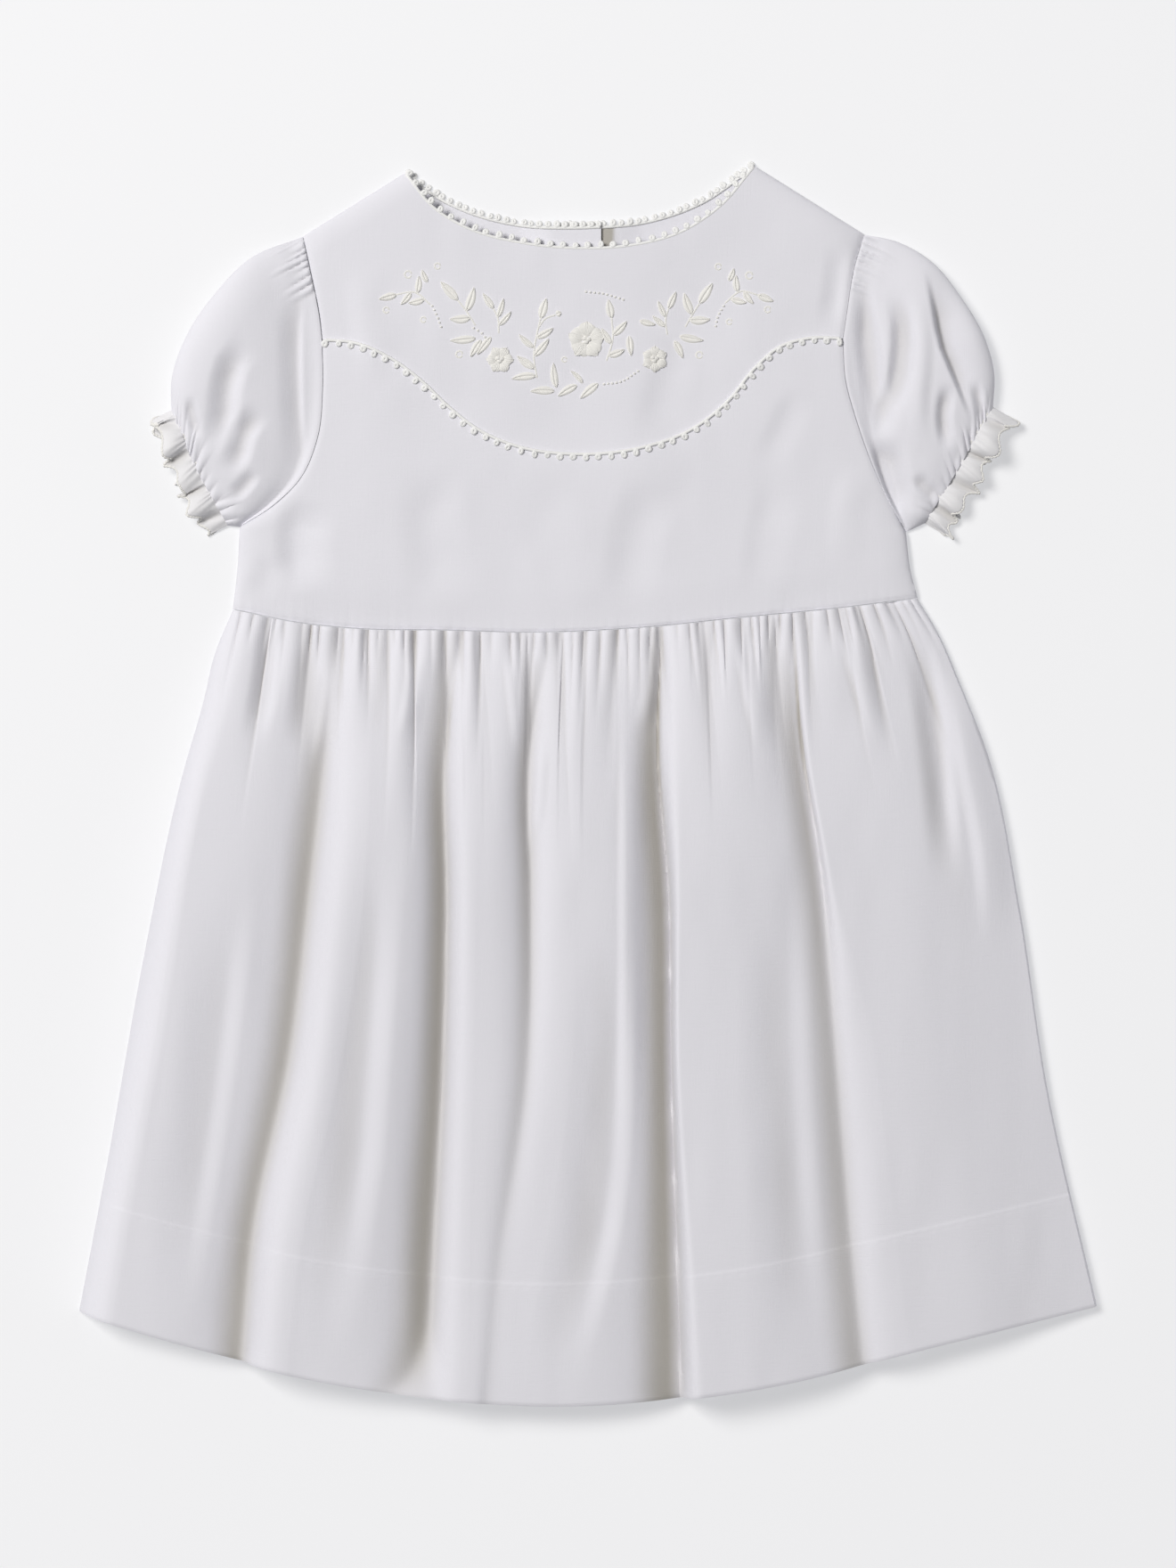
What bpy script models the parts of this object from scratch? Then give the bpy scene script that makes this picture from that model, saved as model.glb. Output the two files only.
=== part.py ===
# Baby's party dress in white cotton, laid face up on a flat surface.
# +X runs to the right of the view, +Y towards the neck and +Z up off the surface.
# The back panels lie on the surface, the front panels lie on them, and each sleeve is one tube.

import math
from collections import namedtuple

import bmesh
import bpy
import numpy as np

# Cloth and seams, in millimetres as every size below
CLOTH = 1.1  # wall of one layer
GAP = 0.3  # between pieces at a seam
FRONT_LOW = 2 * CLOTH + GAP  # top of the front layer where it is pressed onto the back

# Outlines, as (x, y) along each cut edge
LEFT_NECK_CORNER = (-69.8, 232.9)
RIGHT_NECK_CORNER = (63.6, 235.6)
FRONT_NECK = [
    LEFT_NECK_CORNER,
    (-59, 219.6),
    (-45, 211.2),
    (-26, 206.2),
    (-4, 204.0),
    (17, 205.2),
    (35, 210.0),
    (50, 219.8),
    RIGHT_NECK_CORNER,
]
BACK_NECK = [
    LEFT_NECK_CORNER,
    (-59, 224.6),
    (-45, 217.8),
    (-26, 213.0),
    (0, 212.0),
    (23, 214.4),
    (43, 221.4),
    RIGHT_NECK_CORNER,
]
LEFT_SHOULDER = [(-108.6, 208.8), LEFT_NECK_CORNER]
RIGHT_SHOULDER = [RIGHT_NECK_CORNER, (105.2, 209.6)]
LEFT_ARMHOLE_TOP = [(-108.6, 208.8), (-105.4, 194.0), (-102.2, 178.0), (-101.2, 169.2)]
LEFT_ARMHOLE_LOW = [
    (-101.2, 169.2),
    (-100.9, 152.0),
    (-103.0, 131.5),
    (-109.0, 117.0),
    (-120.5, 105.6),
    (-132.8, 98.0),
]
RIGHT_ARMHOLE_TOP = [(105.2, 209.6), (101.2, 196.0), (98.3, 178.0), (97.0, 169.6)]
RIGHT_ARMHOLE_LOW = [
    (97.0, 169.6),
    (98.0, 154.0),
    (102.0, 139.0),
    (107.0, 124.6),
    (113.4, 110.0),
    (121.2, 96.0),
]
LEFT_SIDE = [(-132.8, 98.0), (-133.6, 82.0), (-135.4, 66.8)]
RIGHT_SIDE = [(121.2, 96.0), (122.8, 82.0), (125.6, 71.0)]
YOKE_SEAM = [
    (-101.2, 169.2),
    (-89.0, 168.0),
    (-75.7, 162.4),
    (-63.5, 153.6),
    (-53.0, 143.6),
    (-41.5, 134.8),
    (-27.0, 128.6),
    (-4.0, 125.6),
    (20.0, 128.0),
    (40.0, 135.4),
    (54.1, 146.7),
    (63.4, 158.2),
    (73.4, 166.6),
    (84.8, 169.8),
    (97.0, 169.6),
]
WAIST_SEAM = [
    (-135.4, 66.8),
    (-111.0, 61.8),
    (-88.0, 59.4),
    (-55.0, 58.8),
    (-20.0, 58.0),
    (20.0, 59.8),
    (60.0, 63.8),
    (95.0, 67.2),
    (125.6, 71.0),
]
LEFT_SKIRT_SIDE = [
    (-135.4, 66.8),
    (-142.2, 50.2),
    (-146.6, 32.0),
    (-154.6, 4.0),
    (-169.0, -63.6),
    (-182.8, -141.3),
    (-194.0, -200.6),
]
RIGHT_SKIRT_SIDE = [
    (125.6, 71.0),
    (133.4, 58.0),
    (142.0, 38.3),
    (152.5, 11.4),
    (164.4, -45.7),
    (174.9, -114.4),
    (194.0, -198.6),
]
HEM = [
    (-194.0, -200.6),
    (-154.0, -212.6),
    (-110.0, -224.4),
    (-60.0, -232.6),
    (-15.0, -235.6),
    (35.0, -233.0),
    (80.0, -226.0),
    (130.0, -213.6),
    (194.0, -198.6),
]
BACK_HEM_SHORTER = 2.5  # the back hem lies just inside the front one
SEAM_DROP = 0.4  # how far the lower piece starts below a seam that runs across

# Lofts of the front layer over FRONT_LOW, and how wide the rolled edges are
BODICE_LOFT = 3.15
BODICE_BILLOW = 0.3
WAIST_LOFT = 2.6
SKIRT_PUFF = 1.0
SIDE_ROLL = 11.0
SHOULDER_ROLL = 9.0
ARMHOLE_OPEN = 12.0  # how far a bodice edge at mid armhole stands in from the fold

# Soft folds of the skirt front. Each crest runs from the waist past the middle to the hem,
# with a steep left flank, an easy right one and a groove of the back panel beneath it.
Fold = namedtuple(
    "Fold", "x_waist x_middle x_hem left_top left_hem right_top right_hem height back"
)
FOLDS = [
    Fold(-112, -140.0, -171.0, 18, 20, 16, 40, 8.5, 2.0),
    Fold(-84, -95.0, -125.0, 14, 12, 15, 55, 11.5, 2.4),
    Fold(-47, -44.0, -56.0, 10, 11, 20, 42, 9.5, 2.0),
    Fold(8, 1.0, -4.0, 26, 24, 7, 34, 9.0, 0.0),
    Fold(38, 38.0, 42.0, 9, 11, 34, 68, 12.5, 2.4),
    Fold(74, 99.0, 124.0, 12, 12, 38, 62, 9.5, 2.2),
]
FOLD_START = 0.0  # shares of the skirt's length where folds begin and where they are full
FOLD_FULL = 0.34
BACK_GROOVE_WIDTH = 8.0

# Gathers
WAIST_GATHERS = 50
GATHER_HEIGHT = 0.9

# Grids of the panels
YOKE_COLUMNS = 30
SHOULDER_COLUMNS = 4
ARMHOLE_ROWS = 7  # in each half of an armhole
SIDE_ROWS = 3
BACK_COLUMNS = 13
BACK_SHOULDER_COLUMNS = 5
SKIRT_ROWS = 9
SKIRT_BACK_ROWS = 5
ROW_CROWDING = 1.8  # rows crowd towards the waist

# Sleeves. Each is a tube from its armhole to its elastic cuff.
Sleeve = namedtuple("Sleeve", "side top_armhole low_armhole outer cuff under mirrored")
SLEEVES = [
    Sleeve(
        "left",
        LEFT_ARMHOLE_TOP,
        LEFT_ARMHOLE_LOW,
        [
            (-108.6, 208.8),
            (-128.7, 200.2),
            (-141.8, 187.0),
            (-152.4, 171.5),
            (-158.6, 154.0),
            (-158.8, 142.4),
        ],
        [(-158.8, 142.4), (-148.6, 119.0), (-137.4, 98.6)],
        [(-132.8, 98.0), (-137.4, 98.6)],
        False,
    ),
    Sleeve(
        "right",
        RIGHT_ARMHOLE_TOP,
        RIGHT_ARMHOLE_LOW,
        [
            (105.2, 209.6),
            (118.0, 206.6),
            (131.0, 198.8),
            (142.0, 185.4),
            (151.4, 169.0),
            (154.8, 156.0),
            (154.4, 143.6),
        ],
        [(154.4, 143.6), (141.6, 121.0), (128.4, 99.4)],
        [(121.2, 96.0), (128.4, 99.4)],
        True,
    ),
]
SleeveRing = namedtuple("SleeveRing", "along top middle")
SLEEVE_RINGS = [
    SleeveRing(0.00, 5.4, 1.5),
    SleeveRing(0.15, 12.5, 3.4),
    SleeveRing(0.40, 20.0, 6.4),
    SleeveRing(0.65, 21.0, 7.0),
    SleeveRing(0.88, 13.5, 5.2),
    SleeveRing(1.00, 8.0, 3.6),
]
SLEEVE_ROWS = 8
SLEEVE_COLUMNS = 48  # round the tube: every second one stands out as a gather
SLEEVE_SEAM_GAP = 0.35
UNDERARM_MIDDLE = 1.6  # half height of the tube where it comes down to the underarm
UNDERARM_FALL = 0.5  # share of its height that a sleeve loses towards the underarm
SLEEVE_HEAD = 0.3  # share of the armhole, from the shoulder, that is gathered
CUFF_GATHER_HEIGHT = 0.55
# Troughs on each sleeve's top, along a path of (x, y) points
Trough = namedtuple("Trough", "side path depth half_width")
SLEEVE_TROUGHS = [
    Trough("left", [(-128, 169), (-138.5, 152), (-142.5, 124)], 4.4, 6.5),
    Trough("left", [(-107, 192), (-112, 172), (-115.5, 151), (-118, 118)], 3.6, 7.0),
    Trough("left", [(-124, 143), (-131, 127), (-140, 114)], 3.4, 4.5),
    Trough("left", [(-150.5, 150), (-151.5, 130)], 3.0, 4.5),
    Trough("right", [(130, 194), (137, 174), (141, 156), (149, 136)], 4.6, 6.5),
    Trough("right", [(115, 178), (118, 157), (113, 140)], 3.2, 7.0),
    Trough("right", [(136, 150), (135.5, 132), (138, 120)], 3.8, 5.0),
    Trough("right", [(112, 128), (120, 109), (130, 104)], 2.6, 5.0),
]

# Frill at each cuff: a gathered ribbon that stands out from the elastic
FRILL_WIDTH = 9.0
FRILL_WAVES = 10
FRILL_STEPS = 6  # points along each wave
FRILL_WALL = 1.0
FRILL_RISE = 3.4
FRILL_UNDER_RISE = 1.6
FRILL_DROOP = 1.2
FRILL_BASE_DROP = 0.8

# Picot trims along the yoke seam and the neck
PICOT_PITCH = 5.3
PICOT_REACH = 2.6
PICOT_HALF_WIDTH = 0.2  # as a share of the pitch
TRIM_WIDTH = 1.5
TRIM_WALL = 1.0
TRIM_END = 0.006  # share of its seam that a trim stays clear of each end

# Back opening: the left half overlaps the right half inside, over three buttons
OVERLAP_LEFT_EDGE = -11.0
OVERLAP_RIGHT_EDGE = 5.0
PLACKET_SLOPE = 15.0
PLACKET_FLAT = 18.0  # width of the raised strip beside its own edge
PLACKET_LANDING = 24.0  # length over which the overlap comes down to the waist seam
BUTTON_THICKNESS = 1.4
BUTTON_RADIUS = 4.5
BUTTON_HEIGHTS = (200.0, 158.0, 116.0)

STEEPEST_WALL = 0.5  # least upright share of a surface that its wall is thickened for

Finish = namedtuple("Finish", "red green blue roughness")
COTTON = Finish(0.86, 0.86, 0.88, 0.85)
RIBBON = Finish(0.84, 0.83, 0.81, 0.7)
THREAD = Finish(0.88, 0.88, 0.87, 0.75)
PEARL = Finish(0.88, 0.87, 0.84, 0.35)


def soft_step(low, high, value):
    """0 below low and 1 above high, with a smooth rise between them."""
    share = np.clip((value - low) / (high - low), 0, 1)
    return share * share * (3 - 2 * share)


def roll(distance, width):
    """The quarter round of a rolled edge: 0 at the edge, 1 from the width on."""
    share = np.clip(distance / width, 0, 1)
    return np.sqrt(1 - (1 - share) ** 2)


def crest(offset, left, right):
    """A soft ridge: 1 at offset 0 and 0 past its left and right flanks."""
    share = np.clip(np.abs(offset) / np.where(offset < 0, left, right), 0, 1)
    return 0.5 + 0.5 * np.cos(math.pi * share)


def line_length(points):
    """Length of a line through points."""
    return float(np.linalg.norm(np.diff(np.array(points, float), axis=0), axis=1).sum())


def smooth_line(points, share):
    """Points of a smooth line through the given ones, at shares of its chord length."""
    points = np.array(points, float)
    steps = np.linalg.norm(np.diff(points, axis=0), axis=1)
    knots = np.concatenate([[0], np.cumsum(steps)]) / steps.sum()
    slopes = np.gradient(points, knots, axis=0)
    share = np.clip(np.asarray(share, float), 0, 1)
    span = np.clip(np.searchsorted(knots, share, side="right") - 1, 0, len(steps) - 1)
    width = (knots[span + 1] - knots[span])[:, None]
    t = (share - knots[span])[:, None] / width
    return (
        points[span] * (1 + 2 * t) * (1 - t) ** 2
        + slopes[span] * width * t * (1 - t) ** 2
        + points[span + 1] * t * t * (3 - 2 * t)
        + slopes[span + 1] * width * t * t * (t - 1)
    )


def offset_line(points, distance):
    """The points moved to the left of their direction by a distance."""
    points = np.array(points, float)
    run = np.gradient(points, axis=0)
    run /= np.linalg.norm(run, axis=1)[:, None]
    return points + distance * np.stack([-run[:, 1], run[:, 0]], axis=1)


def edge(points, y_shift=0.0):
    """A smooth edge as a function of its share."""
    return lambda share: smooth_line(points, share) + np.array([0, y_shift])


def part_edge(points, x_from, x_to, y_shift=0.0):
    """The stretch of a smooth edge between two places across the dress."""
    dense = np.linspace(0, 1, 400)
    across = smooth_line(points, dense)[:, 0]
    first, last = np.interp([x_from, x_to], across, dense)
    return lambda share: smooth_line(points, first + (last - first) * share) + np.array([0, y_shift])


def cut_edge(points):
    """An edge of straight cuts, each point an equal share along it."""
    points = np.array(points, float)
    places = np.linspace(0, 1, len(points))
    return lambda share: np.stack([np.interp(share, places, points[:, axis]) for axis in (0, 1)], axis=1)


def joined_edge(edges, ends):
    """One edge made of several with corners between them, each up to its end share."""

    def at(share):
        share = np.asarray(share, float)
        found = np.zeros((len(share), 2))
        start = 0.0
        for part, end in zip(edges, ends):
            inside = (share >= start - 1e-9) & (share <= end + 1e-9)
            found[inside] = part(np.clip((share[inside] - start) / (end - start), 0, 1))
            start = end
        return found

    return at


def flat_patch(top, bottom, left, right, u, v):
    """A flat panel filled in between its four edges. u runs left to right and v downwards."""
    zero, one = np.zeros(1), np.ones(1)
    across, down = u[:, None], v[:, None]
    blended = (1 - down) * top(u) + down * bottom(u) + (1 - across) * left(v) + across * right(v)
    corners = (
        (1 - across) * (1 - down) * top(zero)
        + across * (1 - down) * top(one)
        + (1 - across) * down * bottom(zero)
        + across * down * bottom(one)
    )
    return blended - corners


def armhole_points(top, low):
    """The cuts of one armhole, the same in the panels and the sleeve that meet there."""
    share = np.linspace(0, 1, ARMHOLE_ROWS + 1)
    return np.vstack([smooth_line(top, share), smooth_line(low, share)[1:]])


LEFT_ARMHOLE = armhole_points(LEFT_ARMHOLE_TOP, LEFT_ARMHOLE_LOW)
RIGHT_ARMHOLE = armhole_points(RIGHT_ARMHOLE_TOP, RIGHT_ARMHOLE_LOW)


def line_distance(x, y, line):
    """Distance from a straight seam."""
    (x0, y0), (x1, y1) = line[0], line[-1]
    return np.abs((x1 - x0) * (y - y0) - (y1 - y0) * (x - x0)) / math.hypot(x1 - x0, y1 - y0)


def edge_across(armhole, side, y):
    """Where the side edge of the bodice is at a height on the dress."""
    points = np.vstack([armhole, np.array(side)[1:]])[::-1]
    return np.interp(y, points[:, 1], points[:, 0])


def bodice_height(x, y):
    """Top of the bodice front and yoke: pressed at sides and shoulders, with slight billows."""
    underarm, shoulder = LEFT_SIDE[0][1], LEFT_SHOULDER[0][1]
    opened = ARMHOLE_OPEN * np.sin(math.pi * np.clip((y - underarm) / (shoulder - underarm), 0, 1))
    inside = np.minimum(
        x - edge_across(LEFT_ARMHOLE, LEFT_SIDE, y), edge_across(RIGHT_ARMHOLE, RIGHT_SIDE, y) - x
    )
    side = roll(np.maximum(inside, 0) + opened, SIDE_ROLL)
    to_shoulder = np.minimum(line_distance(x, y, LEFT_SHOULDER), line_distance(x, y, RIGHT_SHOULDER))
    waist = np.array(WAIST_SEAM)
    above = y - np.interp(x, waist[:, 0], waist[:, 1])
    loft = WAIST_LOFT + (BODICE_LOFT - WAIST_LOFT) * soft_step(0, 16, above)
    billow = BODICE_BILLOW * (0.5 + 0.5 * np.sin(x / 13 + 0.6)) * soft_step(0, 30, above)
    return FRONT_LOW + side * roll(to_shoulder, SHOULDER_ROLL) * (loft + billow)


def skirt_sides(v):
    """Where the skirt's left and right edges are at share v of its length."""
    return smooth_line(LEFT_SKIRT_SIDE, v)[:, 0], smooth_line(RIGHT_SKIRT_SIDE, v)[:, 0]


def fold_share(fold, v):
    """How far across the skirt a fold's crest is, from 0 at the left edge to 1 at the right."""
    x = (
        fold.x_waist * (1 - v) * (1 - 2 * v)
        + fold.x_middle * 4 * v * (1 - v)
        + fold.x_hem * v * (2 * v - 1)
    )
    left, right = skirt_sides(v)
    return (x - left) / (right - left)


def along_folds(u, v):
    """Shares across the skirt for columns that run down along the folds' crests."""
    columns = 2 * WAIST_GATHERS
    starts = [np.round(columns * fold_share(fold, np.zeros(1))[0]) / columns for fold in FOLDS]
    knots = [0.0] + starts + [1.0]
    shares = [np.zeros_like(v)] + [fold_share(fold, v) for fold in FOLDS] + [np.ones_like(v)]
    found = np.zeros_like(u)
    for number in range(len(knots) - 1):
        inside = (u >= knots[number] - 1e-6) & (u <= knots[number + 1] + 1e-6)
        part = (u - knots[number]) / (knots[number + 1] - knots[number])
        between = shares[number] + part * (shares[number + 1] - shares[number])
        found = np.where(inside, between, found)
    return found


def skirt_panel(u, v, hem_shift=0.0):
    """Flat place of a skirt point, its depth below the waist and its offset from each crest."""
    edges = (
        edge(WAIST_SEAM, -SEAM_DROP),
        edge(HEM, hem_shift),
        edge(LEFT_SKIRT_SIDE, -SEAM_DROP),
        edge(RIGHT_SKIRT_SIDE, -SEAM_DROP),
    )
    share = along_folds(u, v)
    x, y = flat_patch(*edges, share, v).T
    below = v * (WAIST_SEAM[0][1] - HEM[0][1])
    offsets = [x - flat_patch(*edges, fold_share(fold, v), v)[:, 0] for fold in FOLDS]
    return x, y, share, below, offsets


def gathers(u, below):
    """Fine pleats let out of the waist seam, each fading over its own length."""
    reach = 1.8 * (15 + 8 * np.sin(23 * u + 1) + 4 * np.sin(57 * u))
    return GATHER_HEIGHT * np.cos(2 * math.pi * WAIST_GATHERS * u) * (1 - soft_step(0, reach, below))


def skirt_front_point(u, v):
    """A point of the skirt front, on its top face."""
    x, y, share, below, offsets = skirt_panel(u, v)
    left_x, right_x = skirt_sides(v)
    side = roll(np.minimum(share, 1 - share) * (right_x - left_x), SIDE_ROLL)
    height = WAIST_LOFT + SKIRT_PUFF * soft_step(0, 26, below)
    for fold, offset in zip(FOLDS, offsets):
        left = fold.left_top + (fold.left_hem - fold.left_top) * v
        right = fold.right_top + (fold.right_hem - fold.right_top) * v
        height = height + fold.height * crest(offset, left, right) * soft_step(FOLD_START, FOLD_FULL, v)
    return np.stack([x, y, FRONT_LOW + side * (height + gathers(u, below))], axis=1)


def skirt_back_point(u, v):
    """A point of the skirt back, on its underside, with a few grooves under the front's folds."""
    x, y, share, below, offsets = skirt_panel(u, v, BACK_HEM_SHORTER)
    inside = soft_step(0.02, 0.07, np.minimum(share, 1 - share))
    lift = np.maximum(gathers(u, below), 0)
    for fold, offset in zip(FOLDS, offsets):
        lift = lift + fold.back * crest(offset, BACK_GROOVE_WIDTH, BACK_GROOVE_WIDTH) * soft_step(
            0.1, FOLD_FULL, v
        )
    return np.stack([x, y, inside * lift], axis=1)


def yoke_point(u, v):
    """A point of the front yoke, on its top face."""
    shoulder = SHOULDER_COLUMNS / YOKE_COLUMNS
    top = joined_edge(
        [edge(LEFT_SHOULDER), edge(FRONT_NECK), edge(RIGHT_SHOULDER)],
        [shoulder, 1 - shoulder, 1.0],
    )
    left = cut_edge(LEFT_ARMHOLE[: ARMHOLE_ROWS + 1])
    right = cut_edge(RIGHT_ARMHOLE[: ARMHOLE_ROWS + 1])
    x, y = flat_patch(top, edge(YOKE_SEAM), left, right, u, v).T
    return np.stack([x, y, bodice_height(x, y)], axis=1)


def bodice_front_point(u, v):
    """A point of the bodice front, between the yoke seam and the waist."""
    ends = [ARMHOLE_ROWS / (ARMHOLE_ROWS + SIDE_ROWS), 1.0]
    left = joined_edge([cut_edge(LEFT_ARMHOLE[ARMHOLE_ROWS:]), edge(LEFT_SIDE)], ends)
    right = joined_edge([cut_edge(RIGHT_ARMHOLE[ARMHOLE_ROWS:]), edge(RIGHT_SIDE)], ends)
    x, y = flat_patch(edge(YOKE_SEAM), edge(WAIST_SEAM), left, right, u, v).T
    y = y - SEAM_DROP * (1 - v) ** 4
    return np.stack([x, y, bodice_height(x, y)], axis=1)


def overlap_lift(left_half, x, y):
    """How far the underside of one back half stands off the surface at the opening."""
    outer = BUTTON_THICKNESS + GAP
    landed = CLOTH + GAP
    flat_to = PLACKET_FLAT + PLACKET_SLOPE
    down_at_waist = soft_step(0, PLACKET_LANDING, y - smooth_line(WAIST_SEAM, [0.5])[0, 1] - 6)
    if left_half:
        slope = soft_step(OVERLAP_RIGHT_EDGE - flat_to, OVERLAP_RIGHT_EDGE - PLACKET_FLAT, x)
        return slope * (landed + outer * down_at_waist)
    slope = 1 - soft_step(OVERLAP_LEFT_EDGE + PLACKET_FLAT, OVERLAP_LEFT_EDGE + flat_to, x)
    return slope * outer * down_at_waist


def back_point(left_half, u, v):
    """A point of one half of the bodice back, on its underside."""
    ends = [2 * ARMHOLE_ROWS / (2 * ARMHOLE_ROWS + SIDE_ROWS), 1.0]
    shoulder = BACK_SHOULDER_COLUMNS / BACK_COLUMNS
    if left_half:
        middle, side_x = OVERLAP_RIGHT_EDGE, WAIST_SEAM[0][0]
        neck = part_edge(BACK_NECK, LEFT_NECK_CORNER[0], middle)
        waist = part_edge(WAIST_SEAM, side_x, middle)
        top = joined_edge([edge(LEFT_SHOULDER), neck], [shoulder, 1.0])
        outer = joined_edge([cut_edge(LEFT_ARMHOLE), edge(LEFT_SIDE)], ends)
    else:
        middle, side_x = OVERLAP_LEFT_EDGE, WAIST_SEAM[-1][0]
        neck = part_edge(BACK_NECK, middle, RIGHT_NECK_CORNER[0])
        waist = part_edge(WAIST_SEAM, middle, side_x)
        top = joined_edge([neck, edge(RIGHT_SHOULDER)], [1 - shoulder, 1.0])
        outer = joined_edge([cut_edge(RIGHT_ARMHOLE), edge(RIGHT_SIDE)], ends)
    neck_end = neck(np.ones(1) if left_half else np.zeros(1))[0]
    waist_end = waist(np.ones(1) if left_half else np.zeros(1))[0]
    opening = cut_edge([neck_end, waist_end])
    sides = (outer, opening) if left_half else (opening, outer)
    x, y = flat_patch(top, waist, *sides, u, v).T
    return np.stack([x, y, overlap_lift(left_half, x, y)], axis=1)


def trench(x, y, trough):
    """How deep in a trough each point is, from 0 outside to 1 along its path, fading at its top."""
    path = np.array(trough.path, float)
    lengths = np.linalg.norm(np.diff(path, axis=0), axis=1)
    nearest = np.full(x.shape, np.inf)
    along = np.zeros(x.shape)
    for number, length in enumerate(lengths):
        run = (path[number + 1] - path[number]) / length
        part = np.clip((x - path[number][0]) * run[0] + (y - path[number][1]) * run[1], 0, length)
        away = np.hypot(x - path[number][0] - part * run[0], y - path[number][1] - part * run[1])
        along = np.where(away < nearest, (lengths[:number].sum() + part) / lengths.sum(), along)
        nearest = np.minimum(nearest, away)
    return crest(nearest, trough.half_width, trough.half_width) * soft_step(0, 0.3, along)


def sleeve_levels(along, across):
    """Heights of a sleeve's ridge and of its side folds, lower towards the underarm."""
    rings = [ring.along for ring in SLEEVE_RINGS]
    top = np.interp(along, rings, [ring.top for ring in SLEEVE_RINGS])
    middle = np.interp(along, rings, [ring.middle for ring in SLEEVE_RINGS])
    low = across**2
    return top * (1 - UNDERARM_FALL * low), middle * (1 - low) + UNDERARM_MIDDLE * low


def round_share(u, roundness):
    """Once round a flattened tube: from 0 at the outer fold to 1 at the inner one and back."""
    return roundness * (0.5 - 0.5 * np.cos(2 * math.pi * u)) + (1 - roundness) * (1 - np.abs(1 - 2 * u))


def sleeve_point(sleeve, u, v):
    """A point of a sleeve: v runs from armhole to cuff, and u once round from the outer fold."""
    armhole = armhole_points(sleeve.top_armhole, sleeve.low_armhole)
    aside = SLEEVE_SEAM_GAP if sleeve.mirrored else -SLEEVE_SEAM_GAP
    start = offset_line(armhole, aside)
    w = round_share(u, 0.5)
    edges = (
        cut_edge(start),
        edge(sleeve.cuff),
        edge([start[0]] + sleeve.outer[1:]),
        edge([start[-1]] + sleeve.under[1:]),
    )
    x, y = flat_patch(*edges, w, v).T
    top, middle = sleeve_levels(v, w)
    dome = np.sqrt(np.clip(4 * w * (1 - w), 0, 1))
    at_seam = np.maximum(bodice_height(x, y) * roll(w * 30, 1) * roll((1 - w) * 30, 1), middle)
    near_seam = 1 - soft_step(0, 0.2, v)
    upper = (middle + (top - middle) * dome) * (1 - near_seam) + at_seam * near_seam
    for trough in SLEEVE_TROUGHS:
        if trough.side == sleeve.side:
            upper = upper - trough.depth * trench(x, y, trough) * dome * soft_step(0, 0.2, v)
    pleat = np.cos(math.pi * SLEEVE_COLUMNS * u) * dome
    head = soft_step(0, 0.01, v) * (1 - soft_step(0.12, 0.4, v)) * (1 - soft_step(0.2, SLEEVE_HEAD, w))
    upper = upper + pleat * (GATHER_HEIGHT * head + CUFF_GATHER_HEIGHT * soft_step(0.72, 1, v))
    length = line_length(armhole) * (1 - v) + line_length(sleeve.cuff) * v
    lower = middle * (1 - roll(np.minimum(w, 1 - w) * length, middle))
    return np.stack([x, y, np.where(u <= 0.5, upper, lower)], axis=1)


def frill_point(sleeve, u, v):
    """A point of a frill: v runs from the elastic to the free edge, and u once round the cuff."""
    w = round_share(u, 0.0)
    line = smooth_line(sleeve.cuff, w)
    along = np.array(sleeve.cuff[-1]) - np.array(sleeve.cuff[0])
    along = along / np.linalg.norm(along)
    outward = np.array([along[1], -along[0]]) * (-1 if sleeve.mirrored else 1)
    wave = 2 * math.pi * FRILL_WAVES * u
    free = soft_step(0, 0.1, np.minimum(w, 1 - w))
    reach = GAP + FRILL_WIDTH * v * (0.88 + 0.12 * np.cos(wave))
    x, y = (line + outward * reach[:, None]).T
    top, middle = sleeve_levels(np.ones_like(w), w)
    dome = np.sqrt(np.clip(4 * w * (1 - w), 0, 1))
    upper = middle + (top - FRILL_BASE_DROP - middle) * dome - FRILL_DROOP * v * dome
    lower = middle * (1 - roll(np.minimum(w, 1 - w) * line_length(sleeve.cuff), middle))
    ripple = v * free * (0.5 + 0.5 * np.cos(wave))
    z = np.where(u <= 0.5, upper + FRILL_RISE * ripple, lower + FRILL_UNDER_RISE * ripple)
    return np.stack([x, y, z], axis=1)


def picots_on(line):
    """How many picots a trim along this line has."""
    return int(round(line_length(line) / PICOT_PITCH))


def trim_point(line, downward, height, u, v):
    """A point of a picot trim, on its lower face: v runs across the band and out to the picots."""
    count = picots_on(line)
    steps = np.round(u * count * 3)
    whole, place = steps // 3, (steps % 3).astype(int)
    places = np.array([0.5 - PICOT_HALF_WIDTH, 0.5, 0.5 + PICOT_HALF_WIDTH])
    share = np.clip((whole + places[place]) / count, TRIM_END, 1 - TRIM_END)
    share = np.where(u <= 0, TRIM_END, share)
    tooth = (place == 1) & (u > 0) & (u < 1)
    small = 1e-3
    run = smooth_line(line, share + small) - smooth_line(line, share - small)
    run = run / np.linalg.norm(run, axis=1)[:, None]
    aside = np.stack([run[:, 1], -run[:, 0]], axis=1) * (1 if downward else -1)
    start = -0.5 * TRIM_WIDTH if downward else SEAM_DROP
    across = v if downward else 1 - v
    out = start + across * (TRIM_WIDTH + np.where(tooth, PICOT_REACH, 0))
    x, y = (smooth_line(line, share) + aside * out[:, None]).T
    return np.stack([x, y, height(x, y)], axis=1)


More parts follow.
